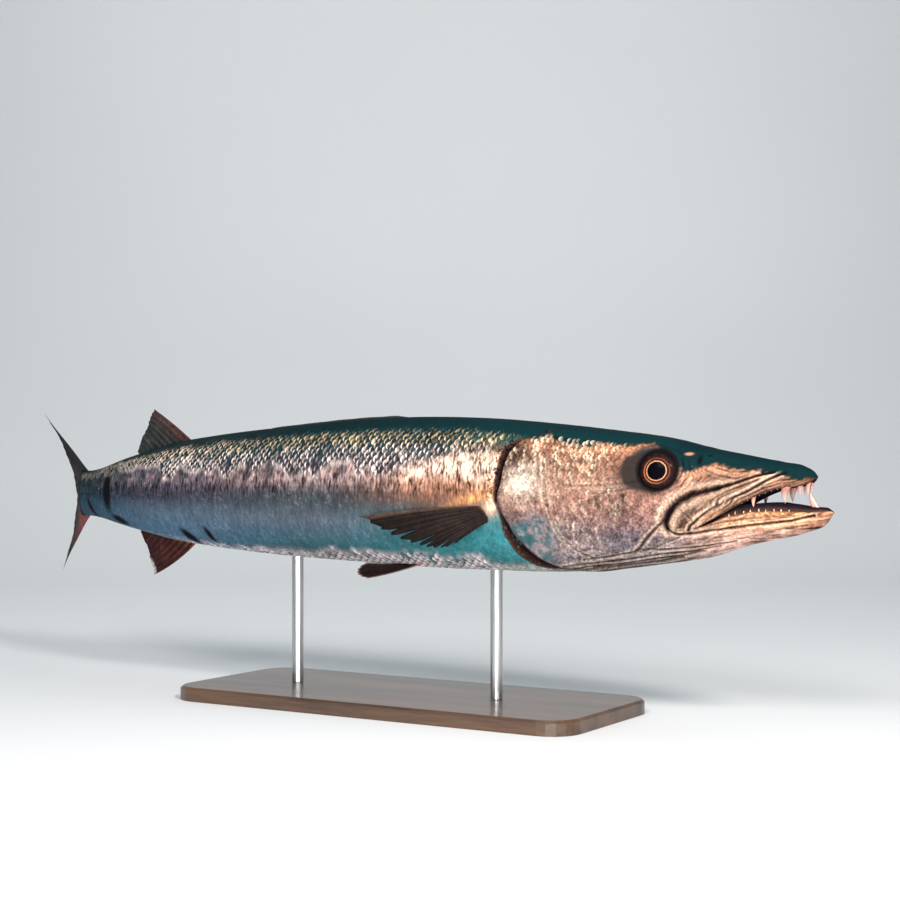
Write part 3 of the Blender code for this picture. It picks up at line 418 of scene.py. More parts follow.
def head_paint(a, h):
    """Colour of the head, the reach of the gill cover's teal, and the dark skin in front of the eye."""
    jaw = bands(JAW_BANDS, h + a * 0.06)
    jaw = mix(jaw, (150, 98, 86), (1 - step(-12, 12, a)) * (1 - step(-12, -8, h)) * 0.8)
    head = mix(jaw, bands(HEAD_BANDS, h + 4 * speckle(a, h, 4, 22)), step(60, 150, a))
    blade = in_maxilla(a, h)
    mottle = 0.7 * speckle(a, h, 21, 9) + 0.5 * speckle(a, h, 22, 3.4)
    low = step(226, 254, a + 16 * speckle(a, h, 23, 13)) * step(-66, -54, h)
    low = low * (1 - step(-30, -6, h + 12 * speckle(a, h, 24, 10)))
    patch = 0.6 * speckle(0.8 * a + 0.6 * h, 0.8 * h - 0.6 * a, 21, 9)
    patch = patch + 0.5 * speckle(0.6 * a - 0.8 * h, 0.8 * a + 0.6 * h, 22, 3)
    patch = patch + 0.35 * speckle(0.7 * a + 0.7 * h, 0.7 * h - 0.7 * a, 26, 1.5)
    # Painted shadow on the gill cover beside the top of the slit.
    shade = blob(a, h, 276, 40, 11, 14) * step(236, 262, a + 4 * mottle)
    head = lay(
        head, ((98, 71, 59), blade * step(84, 110, a)), ((116, 72, 50), blade * (1 - step(78, 104, a)) * 0.8),
        ((54, 100, 106), low * 0.92), ((178, 150, 150), 0.75 * low * step(-0.05, 0.7, patch)),
        # A painted highlight on the gill cover.
        ((255, 226, 204), np.clip(1.15 * blob(a, h, 268, 17, 20, 18) * (1 + 0.4 * mottle), 0, 1)),
        ((196, 150, 120), 0.5 * blob(a, h, 206, 26, 34, 16)),
        ((118, 90, 84), 0.6 * blob(a, h, 176, -6, 16, 20)),
        # The painted shadow beside the top of the slit.
        ((66, 46, 30), 0.92 * shade * (1 + 0.3 * mottle)),
        ((206, 170, 166), 0.4 * blob(a, h, 214, -46, 30, 8)))
    tone = 0.30 * speckle(a, h, 41, 4.6) + 0.28 * speckle(a, h, 42, 2.3, 1.6)
    tone = tone + 0.26 * speckle(a, h, 43, 9, 0.5)
    run = h + (0.46 - 0.34 * step(-6, -16, h + 0.1 * a) + 0.10 * step(60, 110, a)) * a
    fibre = 0.72 * speckle(a, run, 35, 13, 0.11) + 0.46 * speckle(a, run, 36, 7, 0.16)
    fibre = fibre + 0.2 * speckle(a, h, 37, 6)
    jaws = (1 - step(112, 150, a)) * (1 - 0.5 * step(24, 32, h))
    folds = step(-40, -50, h) * step(80, 130, a) * step(-0.3, 0.2, speckle(a, h, 39, 26))
    fibre = fibre + folds * 0.3 * speckle(a, h + 0.22 * a, 38, 16, 0.12)
    tone = tone * (1 - 0.72 * jaws) + fibre * np.maximum(jaws, folds)
    head = head * (1 + tone * (1 - 0.5 * low))[..., None]
    above_mouth = step(-4, 6, h)
    head = mix(head, (255, 226, 184), np.clip(0.8 * (fibre - 0.38), 0, 0.5) * jaws * (1 - 0.5 * above_mouth))
    bright = 0.60 + 0.10 * (1 - step(60, 110, a)) * step(4, -14, h)
    bright = bright - 0.17 * (1 - step(100, 128, a)) * above_mouth
    front_eye = blob(a, h, 118, 30, 6, 8, 1.4) * (1 + 0.5 * speckle(a, h + 1.2 * a, 40, 3))
    streak = blob(a, h, 172, 14, 22, 5) * step(0.0, 0.6, speckle(a, h + 0.1 * a, 48, 14, 0.12))
    head = lay(head * bright[..., None], ((50, 64, 60), np.clip(0.95 * front_eye, 0, 0.92)),
               ((92, 126, 118), 0.6 * streak))
    return head, low, front_eye


def from_socket(a, h):
    """Distance from the middle of the dark skin round the eye, which reaches farther back than forward."""
    return 21 * np.hypot((a - EYE_A - 8) / 27.5, (h - EYE_H) / 20)


def paint(a, h, turn):
    """Colour of the skin and of the scales on it, and how grainy it is."""
    t = up(a, h)
    head, low, front_eye = head_paint(a, h)
    behind, slit, strong = gill_place(a, turn)
    on_head = (1 - step(-2, 2, behind)) * (1 - step(250, 300, a) * (1 - strong))
    off = 1 - on_head
    # A painted gold highlight along the folded skin behind the gill cover.
    fold_highlight = blob(a, h + (a - 300) * 0.24, 324, 4, 24, 4.2) * (1 + 0.5 * speckle(a, h, 34, 4, 0.5))
    over_crown = h - curve(CROWN, a)
    ragged = over_crown + 3.4 * speckle(a, h, 31, 13) + 2.6 * speckle(a, h, 32, 4.2, 0.6)
    ragged = ragged + 1.2 * speckle(a, h, 33, 2)
    above = step(-1.4, 1.8, ragged)
    rim = bell(ragged, -5, 4) * (1 - above) * (1 - step(255, 280, a)) * step(20, 40, a)
    teal = mix(TEAL, DEEP_TEAL, step(4, 22, over_crown)) * (1 - 0.25 * (1 - step(50, 150, a)))[..., None]
    colour = lay(flank_paint(a, h, t), (head, on_head), ((222, 156, 100), np.clip(0.9 * fold_highlight, 0, 1) * off),
                 # A painted white-pink highlight band behind the gill cover.
                 ((234, 190, 166), blob(a, h, 318, 27, 34, 10) * 0.85 * off),
                 ((255, 214, 178), blob(a, h, 302, -9, 6, 7) * off), ((206, 148, 112), 0.5 * rim * on_head),
                 (teal, above * (1 - step(300, 360, a))))

    # Eye socket with painted shade where the ball sinks in, creases with painted shade and highlights, the
    # slit's painted shade, lateral line.
    d = from_socket(a, h)
    socket = 1 - step(17.8, 24.4, d + 1.4 * speckle(a, h, 6, 6))
    # Painted shade in the creases, and painted highlights on their raised lips away from the eye and the
    # crown.
    _, dark, light = creased(a, h)
    light = 0.38 * light * (1 - dark) * (1 - above) * step(24, 27, d) * (1 - 0.75 * np.clip(front_eye, 0, 1))
    # A painted highlight along the ridge above the mouth's crease.
    ridge_highlight = bell(to_line(a, h - 2.0, MOUTH_FOLD), 0, 0.9) * step(28, 40, a)
    ridge_highlight = ridge_highlight * (1 - step(100, 112, a)) * (a < 130)
    in_slit = strong * step(-1.2, 0.4, behind) * (1 - step(slit - 1.4, slit + 1.0, behind))
    line = bell(h, curve(LATERAL_LINE, a), 1.1) * step(320, 380, a) * (1 - step(930, 950, a))
    colour = lay(
        colour, (mix(ORBIT, (16, 40, 42), step(EYE_H + 11, EYE_H + 18, h)), 0.97 * socket),
        # Painted shade round the rim of the ball, then the creases' painted highlights, the ridge's painted
        # highlight and the creases' painted shade.
        ((16, 12, 13), 1 - step(18.4, 21.8, np.hypot(a - EYE_A + 1.2, h - EYE_H))), ((255, 214, 184), light),
        ((232, 202, 176), 0.62 * ridge_highlight), ((12, 7, 8), np.clip(dark * 1.05, 0, 1)),
        # Painted shade in the nostril pits.
        *[(BLACK, blob(a, h, *nostril, 2)) for nostril in NOSTRILS],
        ((190, 130, 98), blob(a, h, 113, 41.2, 3.8, 1.3, 2)),
        # Painted shade in the gill slit, darkest just under the cover's edge, and a brown painted shade on
        # the cover along that edge.
        (mix((12, 6, 6), (58, 36, 30), step(0.3 * slit, slit, behind)), np.clip(in_slit, 0, 1)),
        ((70, 40, 30), 0.5 * strong * step(-5, -1, behind) * (1 - step(-1, 0, behind))),
        ((40, 36, 42), 0.5 * line * (0.75 + 0.25 * speckle(a, 0 * a, 65, 5))))

    # Fine tone of the flank, and how strongly the shader's grain shows.
    grain = np.clip((1 - 0.85 * above) * (1 - 0.85 * step(0.86, 0.92, t)), 0, 1)
    grain = grain * step(-16, -8, a) * (1 - 0.35 * (1 - step(112, 150, a)))
    grain = grain * (1 + 0.9 * off * bell(t, 0.14, 0.2))
    grain = grain * (1 + 0.7 * off * (1 - step(370, 460, a)) * step(0.2, 0.4, t) * (1 - step(0.8, 0.88, t)))
    grain = grain * (1 - 0.6 * step(0.1, -0.2, t) * off * (t > -0.84))
    grain = grain * (1 - 0.8 * socket) * (1 - 0.6 * low * on_head)
    front = 1 - step(380, 480, a)
    pink = bell(t, 0.16, 0.22) * step(300, 360, a)
    streak = (speckle(a, h, 44, 1.7, 4.2) * 0.17 + speckle(a, h, 49, 3, 7) * 0.08) * (1 - 0.6 * front)
    streak = streak + speckle(a, h, 45, 5, 2.4) * 0.08
    dapple = 0.20 * speckle(a, h, 50, 1.6, 0.9) + 0.14 * speckle(a, h + 0.24 * a, 53, 5, 0.4)
    streak = streak + front * dapple
    streak = streak + pink * (0.30 * speckle(a, h, 46, 2.2, 1.8) + 0.22 * speckle(a, h, 47, 6, 1.4))
    colour = colour * (1 + off * (1 - above) * streak)[..., None]
    # Tiny painted sparkles between the belly and the middle of the flank.
    painted_sparkle = step(0.5, 0.85, speckle(a, h, 55, 1.3)) * (0.55 + 0.45 * speckle(a, h, 56, 30))
    painted_sparkle = painted_sparkle * step(-0.84, -0.7, t) * (1 - step(0.2, 0.4, t))
    return marked(a, h, mix(colour, (206, 190, 196), 0.22 * painted_sparkle * off)), grain


def attribute(mesh, name, kind, field, values):
    made = mesh.attributes.new(name, kind, "POINT")
    made.data.foreach_set(field, np.asarray(values, np.float32).ravel())


def new_mesh(name, points, faces, material, colours=None, grain=None):
    """An object from points and faces; faces with equally many corners may come as one array."""
    mesh = bpy.data.meshes.new(name)
    points = np.asarray(points, float)
    if isinstance(faces, list):
        mesh.from_pydata(points.tolist(), [], faces)
    else:
        sides = faces.shape[1]
        mesh.vertices.add(len(points))
        mesh.vertices.foreach_set("co", points.ravel())
        mesh.loops.add(faces.size)
        mesh.loops.foreach_set("vertex_index", faces.ravel().astype(np.int32))
        mesh.polygons.add(len(faces))
        mesh.polygons.foreach_set("loop_start", np.arange(0, faces.size, sides, dtype=np.int32))
        mesh.polygons.foreach_set("loop_total", np.full(len(faces), sides, dtype=np.int32))
        mesh.update(calc_edges=True)
    mesh.validate()
    if colours is not None:
        opaque = np.ones((len(colours), 1))
        attribute(mesh, "Paint", "FLOAT_COLOR", "color", np.concatenate([np.clip(colours, 0, 1), opaque], 1))
        attribute(mesh, "Grain", "FLOAT", "value", np.ones(len(points)) if grain is None else grain)
    mesh.polygons.foreach_set("use_smooth", np.ones(len(mesh.polygons), bool))
    mesh.materials.append(material)
    made = bpy.data.objects.new(name, mesh)
    bpy.context.scene.collection.objects.link(made)
    return made


def bake_unwrap(made, uv):
    """The unwrap that the export keeps, one value a vertex."""
    layer = made.data.uv_layers.new(name="OFBake")
    index = np.empty(len(made.data.loops), np.int32)
    made.data.loops.foreach_get("vertex_index", index)
    layer.data.foreach_set("uv", np.asarray(uv, np.float32)[index].ravel())


def corners(grid):
    return grid[:-1, :-1], grid[1:, :-1], grid[1:, 1:], grid[:-1, 1:]


def halves(a, b, c, d):
    """Two triangles for each set of four corners."""
    return np.concatenate([np.stack([a, b, c], -1).reshape(-1, 3), np.stack([a, c, d], -1).reshape(-1, 3)])


def border(grid):
    """Vertices round the edge of a grid, in order."""
    return np.concatenate([grid[0, :-1], grid[:-1, -1], grid[-1, :0:-1], grid[:0:-1, 0]])


def tube(index):
    """Faces between rings of vertices, a ring in each row."""
    after = np.roll(index, -1, 1)
    return np.stack([index[:-1], after[:-1], after[1:], index[1:]], -1).reshape(-1, 4)


def capped(index):
    return [tuple(face) for face in tube(index).tolist() + [index[0][::-1].tolist(), index[-1].tolist()]]


# Materials.
def shader(name, roughness, metallic=0.0, coat=0.0, specular=0.5, coat_roughness=0.12):
    made = bpy.data.materials.new(name)
    made.use_nodes = True
    inputs = made.node_tree.nodes["Principled BSDF"].inputs
    for socket, value in (("Roughness", roughness), ("Metallic", metallic), ("Coat Weight", coat),
                          ("Coat Roughness", coat_roughness), ("Specular IOR Level", specular)):
        inputs[socket].default_value = value
    return made, made.node_tree, inputs


def node(tree, kind, output, inputs, **settings):
    """One output of a new shader node whose inputs are linked or set."""
    made = tree.nodes.new("ShaderNode" + kind)
    for name, value in settings.items():
        setattr(made, name, value)
    for socket, value in inputs.items():
        if isinstance(value, bpy.types.NodeSocket):
            tree.links.new(value, made.inputs[socket])
        else:
            made.inputs[socket].default_value = value
    return made.outputs[output]


def noise(tree, scale, detail=3.0, stretch=(1, 1, 1), roughness=0.55):
    where = node(tree, "TexCoord", "Object", {})
    where = node(tree, "Mapping", "Vector", {"Vector": where, "Scale": stretch})
    return node(tree, "TexNoise", "Fac",
                {"Vector": where, "Scale": scale, "Detail": detail, "Roughness": roughness})


def ramp(tree, value, low, high, first, last):
    ends = {"From Min": low, "From Max": high, "To Min": first, "To Max": last}
    return node(tree, "MapRange", "Result", {"Value": value, **ends}, clamp=True)


def maths(tree, kind, one, two):
    return node(tree, "Math", 0, {0: one, 1: two}, operation=kind)


def times(tree, colour, value):
    return node(tree, "VectorMath", 0, {0: colour, "Scale": value}, operation="SCALE")


def read(tree, name, output):
    return node(tree, "Attribute", output, {}, attribute_name=name)


def grey(tree, red, green, blue):
    return node(tree, "CombineColor", "Color", {"Red": red, "Green": green, "Blue": blue})


def bump(tree, inputs, height, distance, strength):
    normal = node(tree, "Bump", "Normal", {"Height": height, "Distance": distance, "Strength": strength})
    tree.links.new(normal, inputs["Normal"])


def painted(name, roughness, metallic, coat, grain_scale, low, high, distance, stretch=(1, 1, 1),
            specular=0.5):
    """A painted colour under a fine grain and a slower mottle, silver where pale and dull where dark."""
    made, tree, inputs = shader(name, roughness, metallic, coat, specular)
    fine = noise(tree, grain_scale, 3.0, stretch)
    slow = noise(tree, grain_scale * 0.28, 2.0, stretch)
    factor = maths(tree, "MULTIPLY", ramp(tree, fine, 0.36, 0.64, low, high),
                   ramp(tree, slow, 0.36, 0.64, 0.78, 1.2))
    away = maths(tree, "MULTIPLY", maths(tree, "SUBTRACT", factor, 1.0), read(tree, "Grain", "Fac"))
    colour = read(tree, "Paint", "Color")
    shown = times(tree, colour, maths(tree, "MAXIMUM", maths(tree, "ADD", away, 1.0), 0.08))
    tree.links.new(shown, inputs["Base Color"])
    if metallic:
        pale = node(tree, "RGBToBW", "Val", {"Color": colour})
        tree.links.new(ramp(tree, pale, 0.03, 0.3, 0.0, metallic), inputs["Metallic"])
        tree.links.new(ramp(tree, pale, 0.03, 0.3, 0.75, roughness), inputs["Roughness"])
    bump(tree, inputs, fine, distance, 0.6)
    return made


skin_material = painted("skin", 0.36, 0.24, 0.0, 430.0, 0.46, 1.48, 0.0007, specular=0.05)
scale_material = painted("scales", 0.30, 0.32, 0.0, 420.0, 0.56, 1.42, 0.0002, (1, 1, 0.3), specular=0.05)
cheek_material = painted("cheek_scales", 0.32, 0.28, 0.0, 520.0, 0.60, 1.34, 0.0002, specular=0.05)
fin_material = painted("fins", 0.5, 0.0, 0.0, 260.0, 0.7, 1.3, 0.0002, specular=0.10)
tooth_material = painted("teeth", 0.22, 0.0, 0.4, 300.0, 0.92, 1.06, 0.0001)


def mirrored(half, sign=1):
    """A half net carried over to the other side of the fish."""
    return np.concatenate([half, sign * half[:, -2::-1]], 1)


def outer_net(along, lip_h, columns, end):
    """Half of the outer skin, from the lip to the back or the belly."""
    start = turn_at(along, lip_h)[:, None]
    turn = start + (end - start) * np.linspace(0, 1, columns + 1)[None, :]
    a = np.repeat(along[:, None], columns + 1, 1)
    side, h, ny, nz = shell(a, turn)
    lip = np.where(a < MOUTH_CORNER, np.abs(h - lip_h[:, None]), NO_LIP)
    lift = relief(a, h, turn, lip)
    return a, side + ny * lift, h + nz * lift, turn, h


def lining_net(along, wide, lip_line, up, gum, hollow):
    """Half of a jaw's inside, from the lip over a gum into a hollow; up is 1 in the lower jaw, else -1."""
    lip_h = curve(lip_line, np.minimum(along, MOUTH_CORNER))
    small = np.clip(wide / 14, 0.2, 1)
    gum = gum * (1 - step(70, 100, along))
    hollow = hollow * (1 - step(MOUTH_CORNER - 8, THROAT, along))
    sides, heights = [], []
    for inset, rise, fall in LINING:
        sides.append(wide - inset * small)
        heights.append(lip_h + up * (gum * rise * small - fall * small * np.minimum(1, hollow / 5)))
    left = LINING_COLUMNS // 2 - len(LINING) + 1
    for k in range(1, left + 1):
        sides.append((wide - LINING[-1][0] * small) * (1 - k / left))
        heights.append(lip_h - up * small * hollow * (0.72 + 0.28 * k / left))
    side = np.stack(sides, 1)
    return np.where(along[:, None] > MOUTH_CORNER, side * 0.82, side), np.stack(heights, 1)


def build_skin():
    """One closed skin over head, jaws and body, with the inside of the mouth."""
    head_places = np.arange(MOUTH_CORNER, HEAD_END, HEAD_SPACING)[1:]
    shared = np.concatenate([head_places, np.linspace(HEAD_END, BODY_END, BODY_NET_ROWS)])
    spread = np.linspace(0, 1, MOUTH_ROWS) ** 1.15
    corner, points, colours, grains, grids, lips = MOUTH_ROWS - 1, [], [], [], [], []

    def add(a, side, h, colour, grain):
        first = sum(len(block) for block in points)
        points.append(np.stack([a, side, h], -1).reshape(-1, 3))
        colours.append(colour.reshape(-1, 3))
        grains.append(np.broadcast_to(grain, a.shape).ravel())
        return np.arange(first, first + a.size).reshape(a.shape)

    # Both jaws: tip, how far back it is rounded off, centre of that above the lip.
    for lip_line, columns, end, tip, round_off, centre in (
            (UPPER_LIP, UPPER_COLUMNS, math.pi / 2, SNOUT_TIP, 5.0, 2.6),
            (LOWER_LIP, LOWER_COLUMNS, -math.pi / 2, JAW_TIP, 7.0, -2.0)):
        along = np.concatenate([tip + (MOUTH_CORNER - tip) * spread, shared])
        lip_h = curve(lip_line, along)
        a, side, h, turn, base_h = outer_net(along, lip_h, columns, end)
        near = np.clip((along - tip) / round_off, 0, 1)
        size = np.sqrt(np.clip(1 - (1 - near) ** 2, 0.0025, 1))[:, None]
        focus = lip_h[:, None] + centre
        colour, grain = paint(a, base_h, turn)
        across = mirrored(side, -1)
        across[:, columns] = 0
        grids.append(add(mirrored(a), across * size, focus + (mirrored(h) - focus) * size, mirrored(colour),
                         mirrored(grain)))
        lips.append((along, side[:, 0], size, focus))

    # Inside of both jaws: height of the gum, depth of the hollow, colour of the lip.
    throat = int(np.searchsorted(lips[0][0], THROAT))
    inner = np.arange(LINING_COLUMNS + 1)
    from_lip = np.minimum(inner, LINING_COLUMNS - inner)[None, :]
    linings = []
    for lip, lip_line, up, gum, hollow, lip_colour in (
            (lips[0], UPPER_LIP, -1, 1.0, 6.0, (196, 140, 110)),
            (lips[1], LOWER_LIP, 1, 7.6, 7.0, (206, 150, 104))):
        along, wide, size, focus = (values[: throat + 1] for values in lip)
        side, h = lining_net(along, wide, lip_line, up, gum, hollow)
        across = mirrored(side, -1)
        across[:, LINING_COLUMNS // 2] = 0
        across, h = across * size, focus + (mirrored(h) - focus) * size
        a = np.repeat(along[:, None], LINING_COLUMNS + 1, 1)
        flesh = mix((24, 15, 26), (11, 8, 14), step(-1, 1, wave(a, across, h, 8, 12)))
        linings.append(add(a, across, h, mix(flesh, lip_colour, 1 - step(0.6, 2.4, from_lip)), 0.4))

    # Shared edges: lips to lining in front of the corner, upper to lower behind it.
    total = sum(len(block) for block in points)
    weld = np.arange(total)
    for end in (0, -1):
        upper, lower, roof, floor = (net[:, end] for net in grids + linings)
        weld[lower[corner:]] = upper[corner:]
        weld[roof[: corner + 1]] = upper[: corner + 1]
        weld[floor[:corner]] = lower[:corner]
        weld[floor[corner]] = upper[corner]
        weld[floor[corner + 1:]] = roof[corner + 1:]
    nets = [np.stack(corners(net), -1).reshape(-1, 4) for net in grids + linings]
    turned = [nets[0], nets[1][:, [0, 3, 2, 1]], nets[2][:, [0, 3, 2, 1]], nets[3]]
    used, faces = np.unique(weld[np.concatenate(turned)], return_inverse=True)
    where = np.full(total, -1)
    where[used] = np.arange(len(used))

    def ring(one, two):
        """Vertices round an opening, each once."""
        every = [int(vertex) for vertex in where[weld[np.concatenate([one, two[::-1]])]]]
        made = [vertex for vertex, before in zip(every, [-1] + every) if vertex != before]
        return made[:-1] if made[0] == made[-1] else made

    caps = [ring(grids[0][0], linings[0][0]), ring(grids[1][0], linings[1][0]),
            ring(linings[0][-1], linings[1][-1]),
            ring(grids[0][-1], grids[1][-1])]
    position, colour, grain = (np.concatenate(part)[used] for part in (points, colours, grains))
    position = np.concatenate([position, [position[cap].mean(0) for cap in caps]])
    colour = np.concatenate([colour, [colour[cap].mean(0) for cap in caps]])
    grain = np.concatenate([grain, np.zeros(len(caps))])
    faces = [tuple(face) for face in faces.reshape(-1, 4).tolist()]
    for k, cap in enumerate(caps):
        faces += [(one, two, len(used) + k) for one, two in zip(cap, cap[1:] + cap[:1])]
    made = new_mesh("skin", place(position), faces, skin_material, colour, grain)
    shape = bmesh.new()
    shape.from_mesh(made.data)
    bmesh.ops.recalc_face_normals(shape, faces=shape.faces)
    shape.to_mesh(made.data)
    shape.free()
    return made


skin = build_skin()

# Where the sections' arc lengths run, so that scales keep their size round the body.
arc_turn, arc_a = np.linspace(-math.pi / 2, math.pi / 2, 241), np.linspace(150, BODY_END, 204)
arc_side, arc_height, _, _ = shell(*np.meshgrid(arc_a, arc_turn, indexing="ij"))
arc_length = np.cumsum(np.hypot(np.diff(arc_side, axis=1), np.diff(arc_height, axis=1)), 1)
arc_length = np.pad(arc_length, ((0, 0), (1, 0)))


def turn_of(a, share):
    """Angle round the left side at a share of the way up it, by arc length."""
    row = np.clip((a - arc_a[0]) / (arc_a[1] - arc_a[0]), 0, len(arc_a) - 1.001)
    low = row.astype(int)
    t = row - low
    made = np.empty(a.shape)
    for i in np.unique(low):
        pick = low == i
        one, two = (np.interp(share[pick] * arc_length[k, -1], arc_length[k], arc_turn) for k in (i, i + 1))
        made[pick] = one * (1 - t[pick]) + two * t[pick]
    return made


def half_perimeter(a):
    return np.interp(a, arc_a, arc_length[:, -1])


def lay_scales(name, roots_a, roots_share, length, width, material, rise, sink, shade, side):
    """Thin closed scales, each rooted at its front and overlapping the next, on one side of the body."""
    n, count, middle = len(roots_a), len(SCALE_BACK) * len(SCALE_ACROSS), SCALE_CENTRE
    u, v = np.meshgrid(SCALE_ACROSS, SCALE_BACK)
    across = u * SCALE_TAPER[:, None]
    back = v * (1 - 0.16 * across**2 * v)
    tilt = rng.normal(0, 1, n)[:, None, None]
    roll = rng.normal(0, 1, n)[:, None, None]
    a = roots_a[:, None, None] + length[:, None, None] * back
    share = roots_share[:, None, None] + (width / half_perimeter(roots_a))[:, None, None] / 2 * across
    share = np.clip(share, -0.04, 1.04)
    over = np.where((share > 1) | (share < 0), -1.0, 1.0)
    turn = turn_of(a.ravel(), np.where(share > 1, 2 - share, np.abs(share)).ravel()).reshape(a.shape)
    out, h, ny, nz = shell(a, turn)
    stand = rise(a, h)
    free = np.clip((v - SCALE_TUCK) / (1 - SCALE_TUCK), 0, 1)
    lift = 0.03 - (sink + 0.03) * (1 - np.minimum(v / SCALE_TUCK, 1)) + stand * free * (1 + 0.18 * tilt)
    lift = lift + 0.3 * stand * (1 - u**2) + 0.14 * stand * roll * u * v + relief(a, h, turn, NO_LIP)
    upper = np.stack([a, (out + ny * lift) * over, h + nz * lift], -1)
    inward = np.stack([0 * a, ny * over, nz], -1)[:, middle, middle]
    under = upper[:, middle, middle] - inward * (0.3 + 0.3 * stand[:, middle, middle])[:, None]
    points = np.concatenate([upper.reshape(n, count, 3), under[:, None]], 1)
    points[:, :, 1] *= side
    colour, grain = paint(a, h, turn)
    colour = marked(a, h, shade(a, h, v, u, tilt, roll, colour))
    colours = np.concatenate([colour.reshape(n, count, 3), colour[:, middle, middle][:, None]], 1)
    grains = np.concatenate([grain.reshape(n, count), grain[:, middle, middle][:, None]], 1)
    grid = np.arange(count).reshape(u.shape)
    rim = border(grid)
    p, q, r, s = corners(grid)
    faces = np.concatenate([halves(p, s, r, q),
                            np.stack([np.roll(rim, -1), rim, np.full(len(rim), count)], 1)])
    if side > 0:
        faces = faces[:, ::-1]
    every = (faces[None] + (np.arange(n) * (count + 1))[:, None, None]).reshape(-1, 3)
    made = new_mesh(name, place(points.reshape(-1, 3)), every, material, colours.reshape(-1, 3),
                    grains.ravel())
    made.data.polygons.foreach_set("use_smooth", np.tile(np.arange(len(faces)) < len(faces) - len(rim), n))
    home_u = 0.01 + 0.98 * (roots_a - roots_a.min()) / (roots_a.max() - roots_a.min())
    home_v = 0.01 + 0.98 * roots_share
    local = np.concatenate([np.stack([back, across], -1).reshape(count, 2), [[0.6, 0.0]]])
    uv = [home_u[:, None] + 0.0026 * (local[None, :, 0] - 0.5), home_v[:, None] + 0.0013 * local[None, :, 1]]
    bake_unwrap(made, np.stack(uv, -1).reshape(-1, 2))
    return made


def body_rise(a, h):
    """Scales stand proud where they glint and lie flush over the smooth lower flank and the back."""
    t = up(a, h)
    upper, belly, _ = glint_zones(a, t)
    return 0.11 + 0.03 * step(-0.08, 0.12, t) * (1 - step(0.84, 0.93, t)) + 0.26 * upper + 0.10 * belly


def body_shade(a, h, v, u, tilt, roll, colour):
    """Scales of the flank: a painted glint on the rear edge, and painted shade on the root in the gaps."""
    t = up(a, h)
    upper, belly, calm = glint_zones(a, t)
    # Painted shade in the gaps between glinting scale edges: dark teal high on the flank, dusky lower,
    # blue-grey along the belly.
    gap_shade = mix((18, 42, 46), (48, 46, 60), step(0.6, 0.3, t))
    gap = lay(colour, (gap_shade, 0.95 * upper * step(300, 360, a)), ((44, 70, 86), 0.9 * belly))
    # The painted glints: near-white to gold rear edges on the upper flank, near-white ones along the belly.
    glint_colour = mix((255, 232, 220), (222, 190, 148), step(0.56, 0.70, t) * (1 - 0.5 * step(560, 700, a)))
    chance = 1.04 + 0.26 * tilt + 0.55 * speckle(a, h, 51, 7, 2.2) - 0.65 * bars(a, t)
    chance = chance - 0.15 * step(0.66, 0.86, t) + 0.25 * step(560, 700, a)
    glint = np.clip(belly * (1.0 + 0.45 * roll + 0.5 * speckle(a, h, 58, 5)), 0, 1)
    lit = lay(colour, (glint_colour, upper * np.clip(chance, 0, 1)), ((255, 238, 238), glint))
    fine = step(-0.14, 0.02, t + 0.16 * (1 - step(300, 420, a)) - 0.14) * (1 - step(0.86, 0.92, t))
    # Over the calm flank each scale is painted a little lighter or darker with its tilt, a painted sparkle.
    speck = 1 + calm * np.clip(tilt, -1.6, 2.4) * (0.03 + 0.16 * fine)
    start = 0.840 - 0.14 * belly - 0.02 * step(560, 700, a)
    edge = v + 0.035 * roll + 0.05 * u * (1 - belly) + 0.04 * speckle(a, h, 52, 3)
    tip = step(start, start + 0.07, edge) * (1 - 0.75 * step(0.5, 1.0, np.abs(u + 0.15 * roll)))
    tip = np.maximum(np.clip(tip * (1.15 + 0.25 * tilt), 0, 1), calm)
    return mix(gap, lit, tip) * speck[..., None]


def cheek_rise(a, h):
    return np.full(a.shape, 0.14)


def cheek_shade(a, h, v, u, tilt, roll, colour):
    """Small scales of the cheek and gill cover: a painted highlight on the rear part, stronger or weaker by
    chance, and painted shade on the front part, boldest high on the cheek.
    """
    bold = 0.34 + 0.66 * step(12, 34, h + 5 * speckle(a, h, 57, 16))
    lit = mix(colour, (255, 228, 196), np.clip((0.16 + 0.30 * tilt) * bold, 0, 0.6))
    lit = lit * (1 + 0.38 * (0.4 + 0.6 * bold) * np.clip(roll, -1.9, 1.3))[..., None]
    return mix(colour * (1 - 0.48 * bold)[..., None], lit, step(0.5, 0.84, v + 0.04 * roll))


def quincunx(start, end, pitch, rows):
    """Roots at every second crossing of a net half a scale long; pitch is a scale's share of the length."""
    roots, a, odd = [], start, 0
    while a < end:
        for j in range(rows + 1 - odd):
            roots.append((a, (j + 0.5 * odd) / rows))
        a += pitch(a) / 2
        odd = 1 - odd
    return np.array(roots)


def body_pitch(a):
    return BODY_PITCH * (half_perimeter(a) / FULL_GIRTH) ** 0.35


SIDES = ((-1, "right"), (1, "left"))
scale_pieces = []
for side, word in SIDES:
    roots = quincunx(190.0, 944.0, body_pitch, BODY_ROWS)
    a, share = roots[:, 0] + rng.normal(0, 0.3, len(roots)), roots[:, 1]
    turn = turn_of(a, share)
    behind, slit, _ = gill_place(a, turn)
    deg = np.degrees(turn)
    keep = np.where(deg > 56, a > 204 + 1.6 * (90 - deg), behind > slit + 1.0) & ~((deg < -78) & (a < 262))
    a, share = a[keep], share[keep]
    length = body_pitch(a) * 1.5 * (1 + rng.normal(0, 0.03, len(a)))
    width = half_perimeter(a) / BODY_ROWS * 1.06
    for part, pick in (("front", a < 520), ("rear", (a >= 520) & (a < 720)), ("tail", a >= 720)):
        size = length[pick], width[pick]
        scale_pieces.append(lay_scales(f"scales_{part}_{word}", a[pick], share[pick], *size, scale_material,
                                       body_rise, 0.3, body_shade, side))

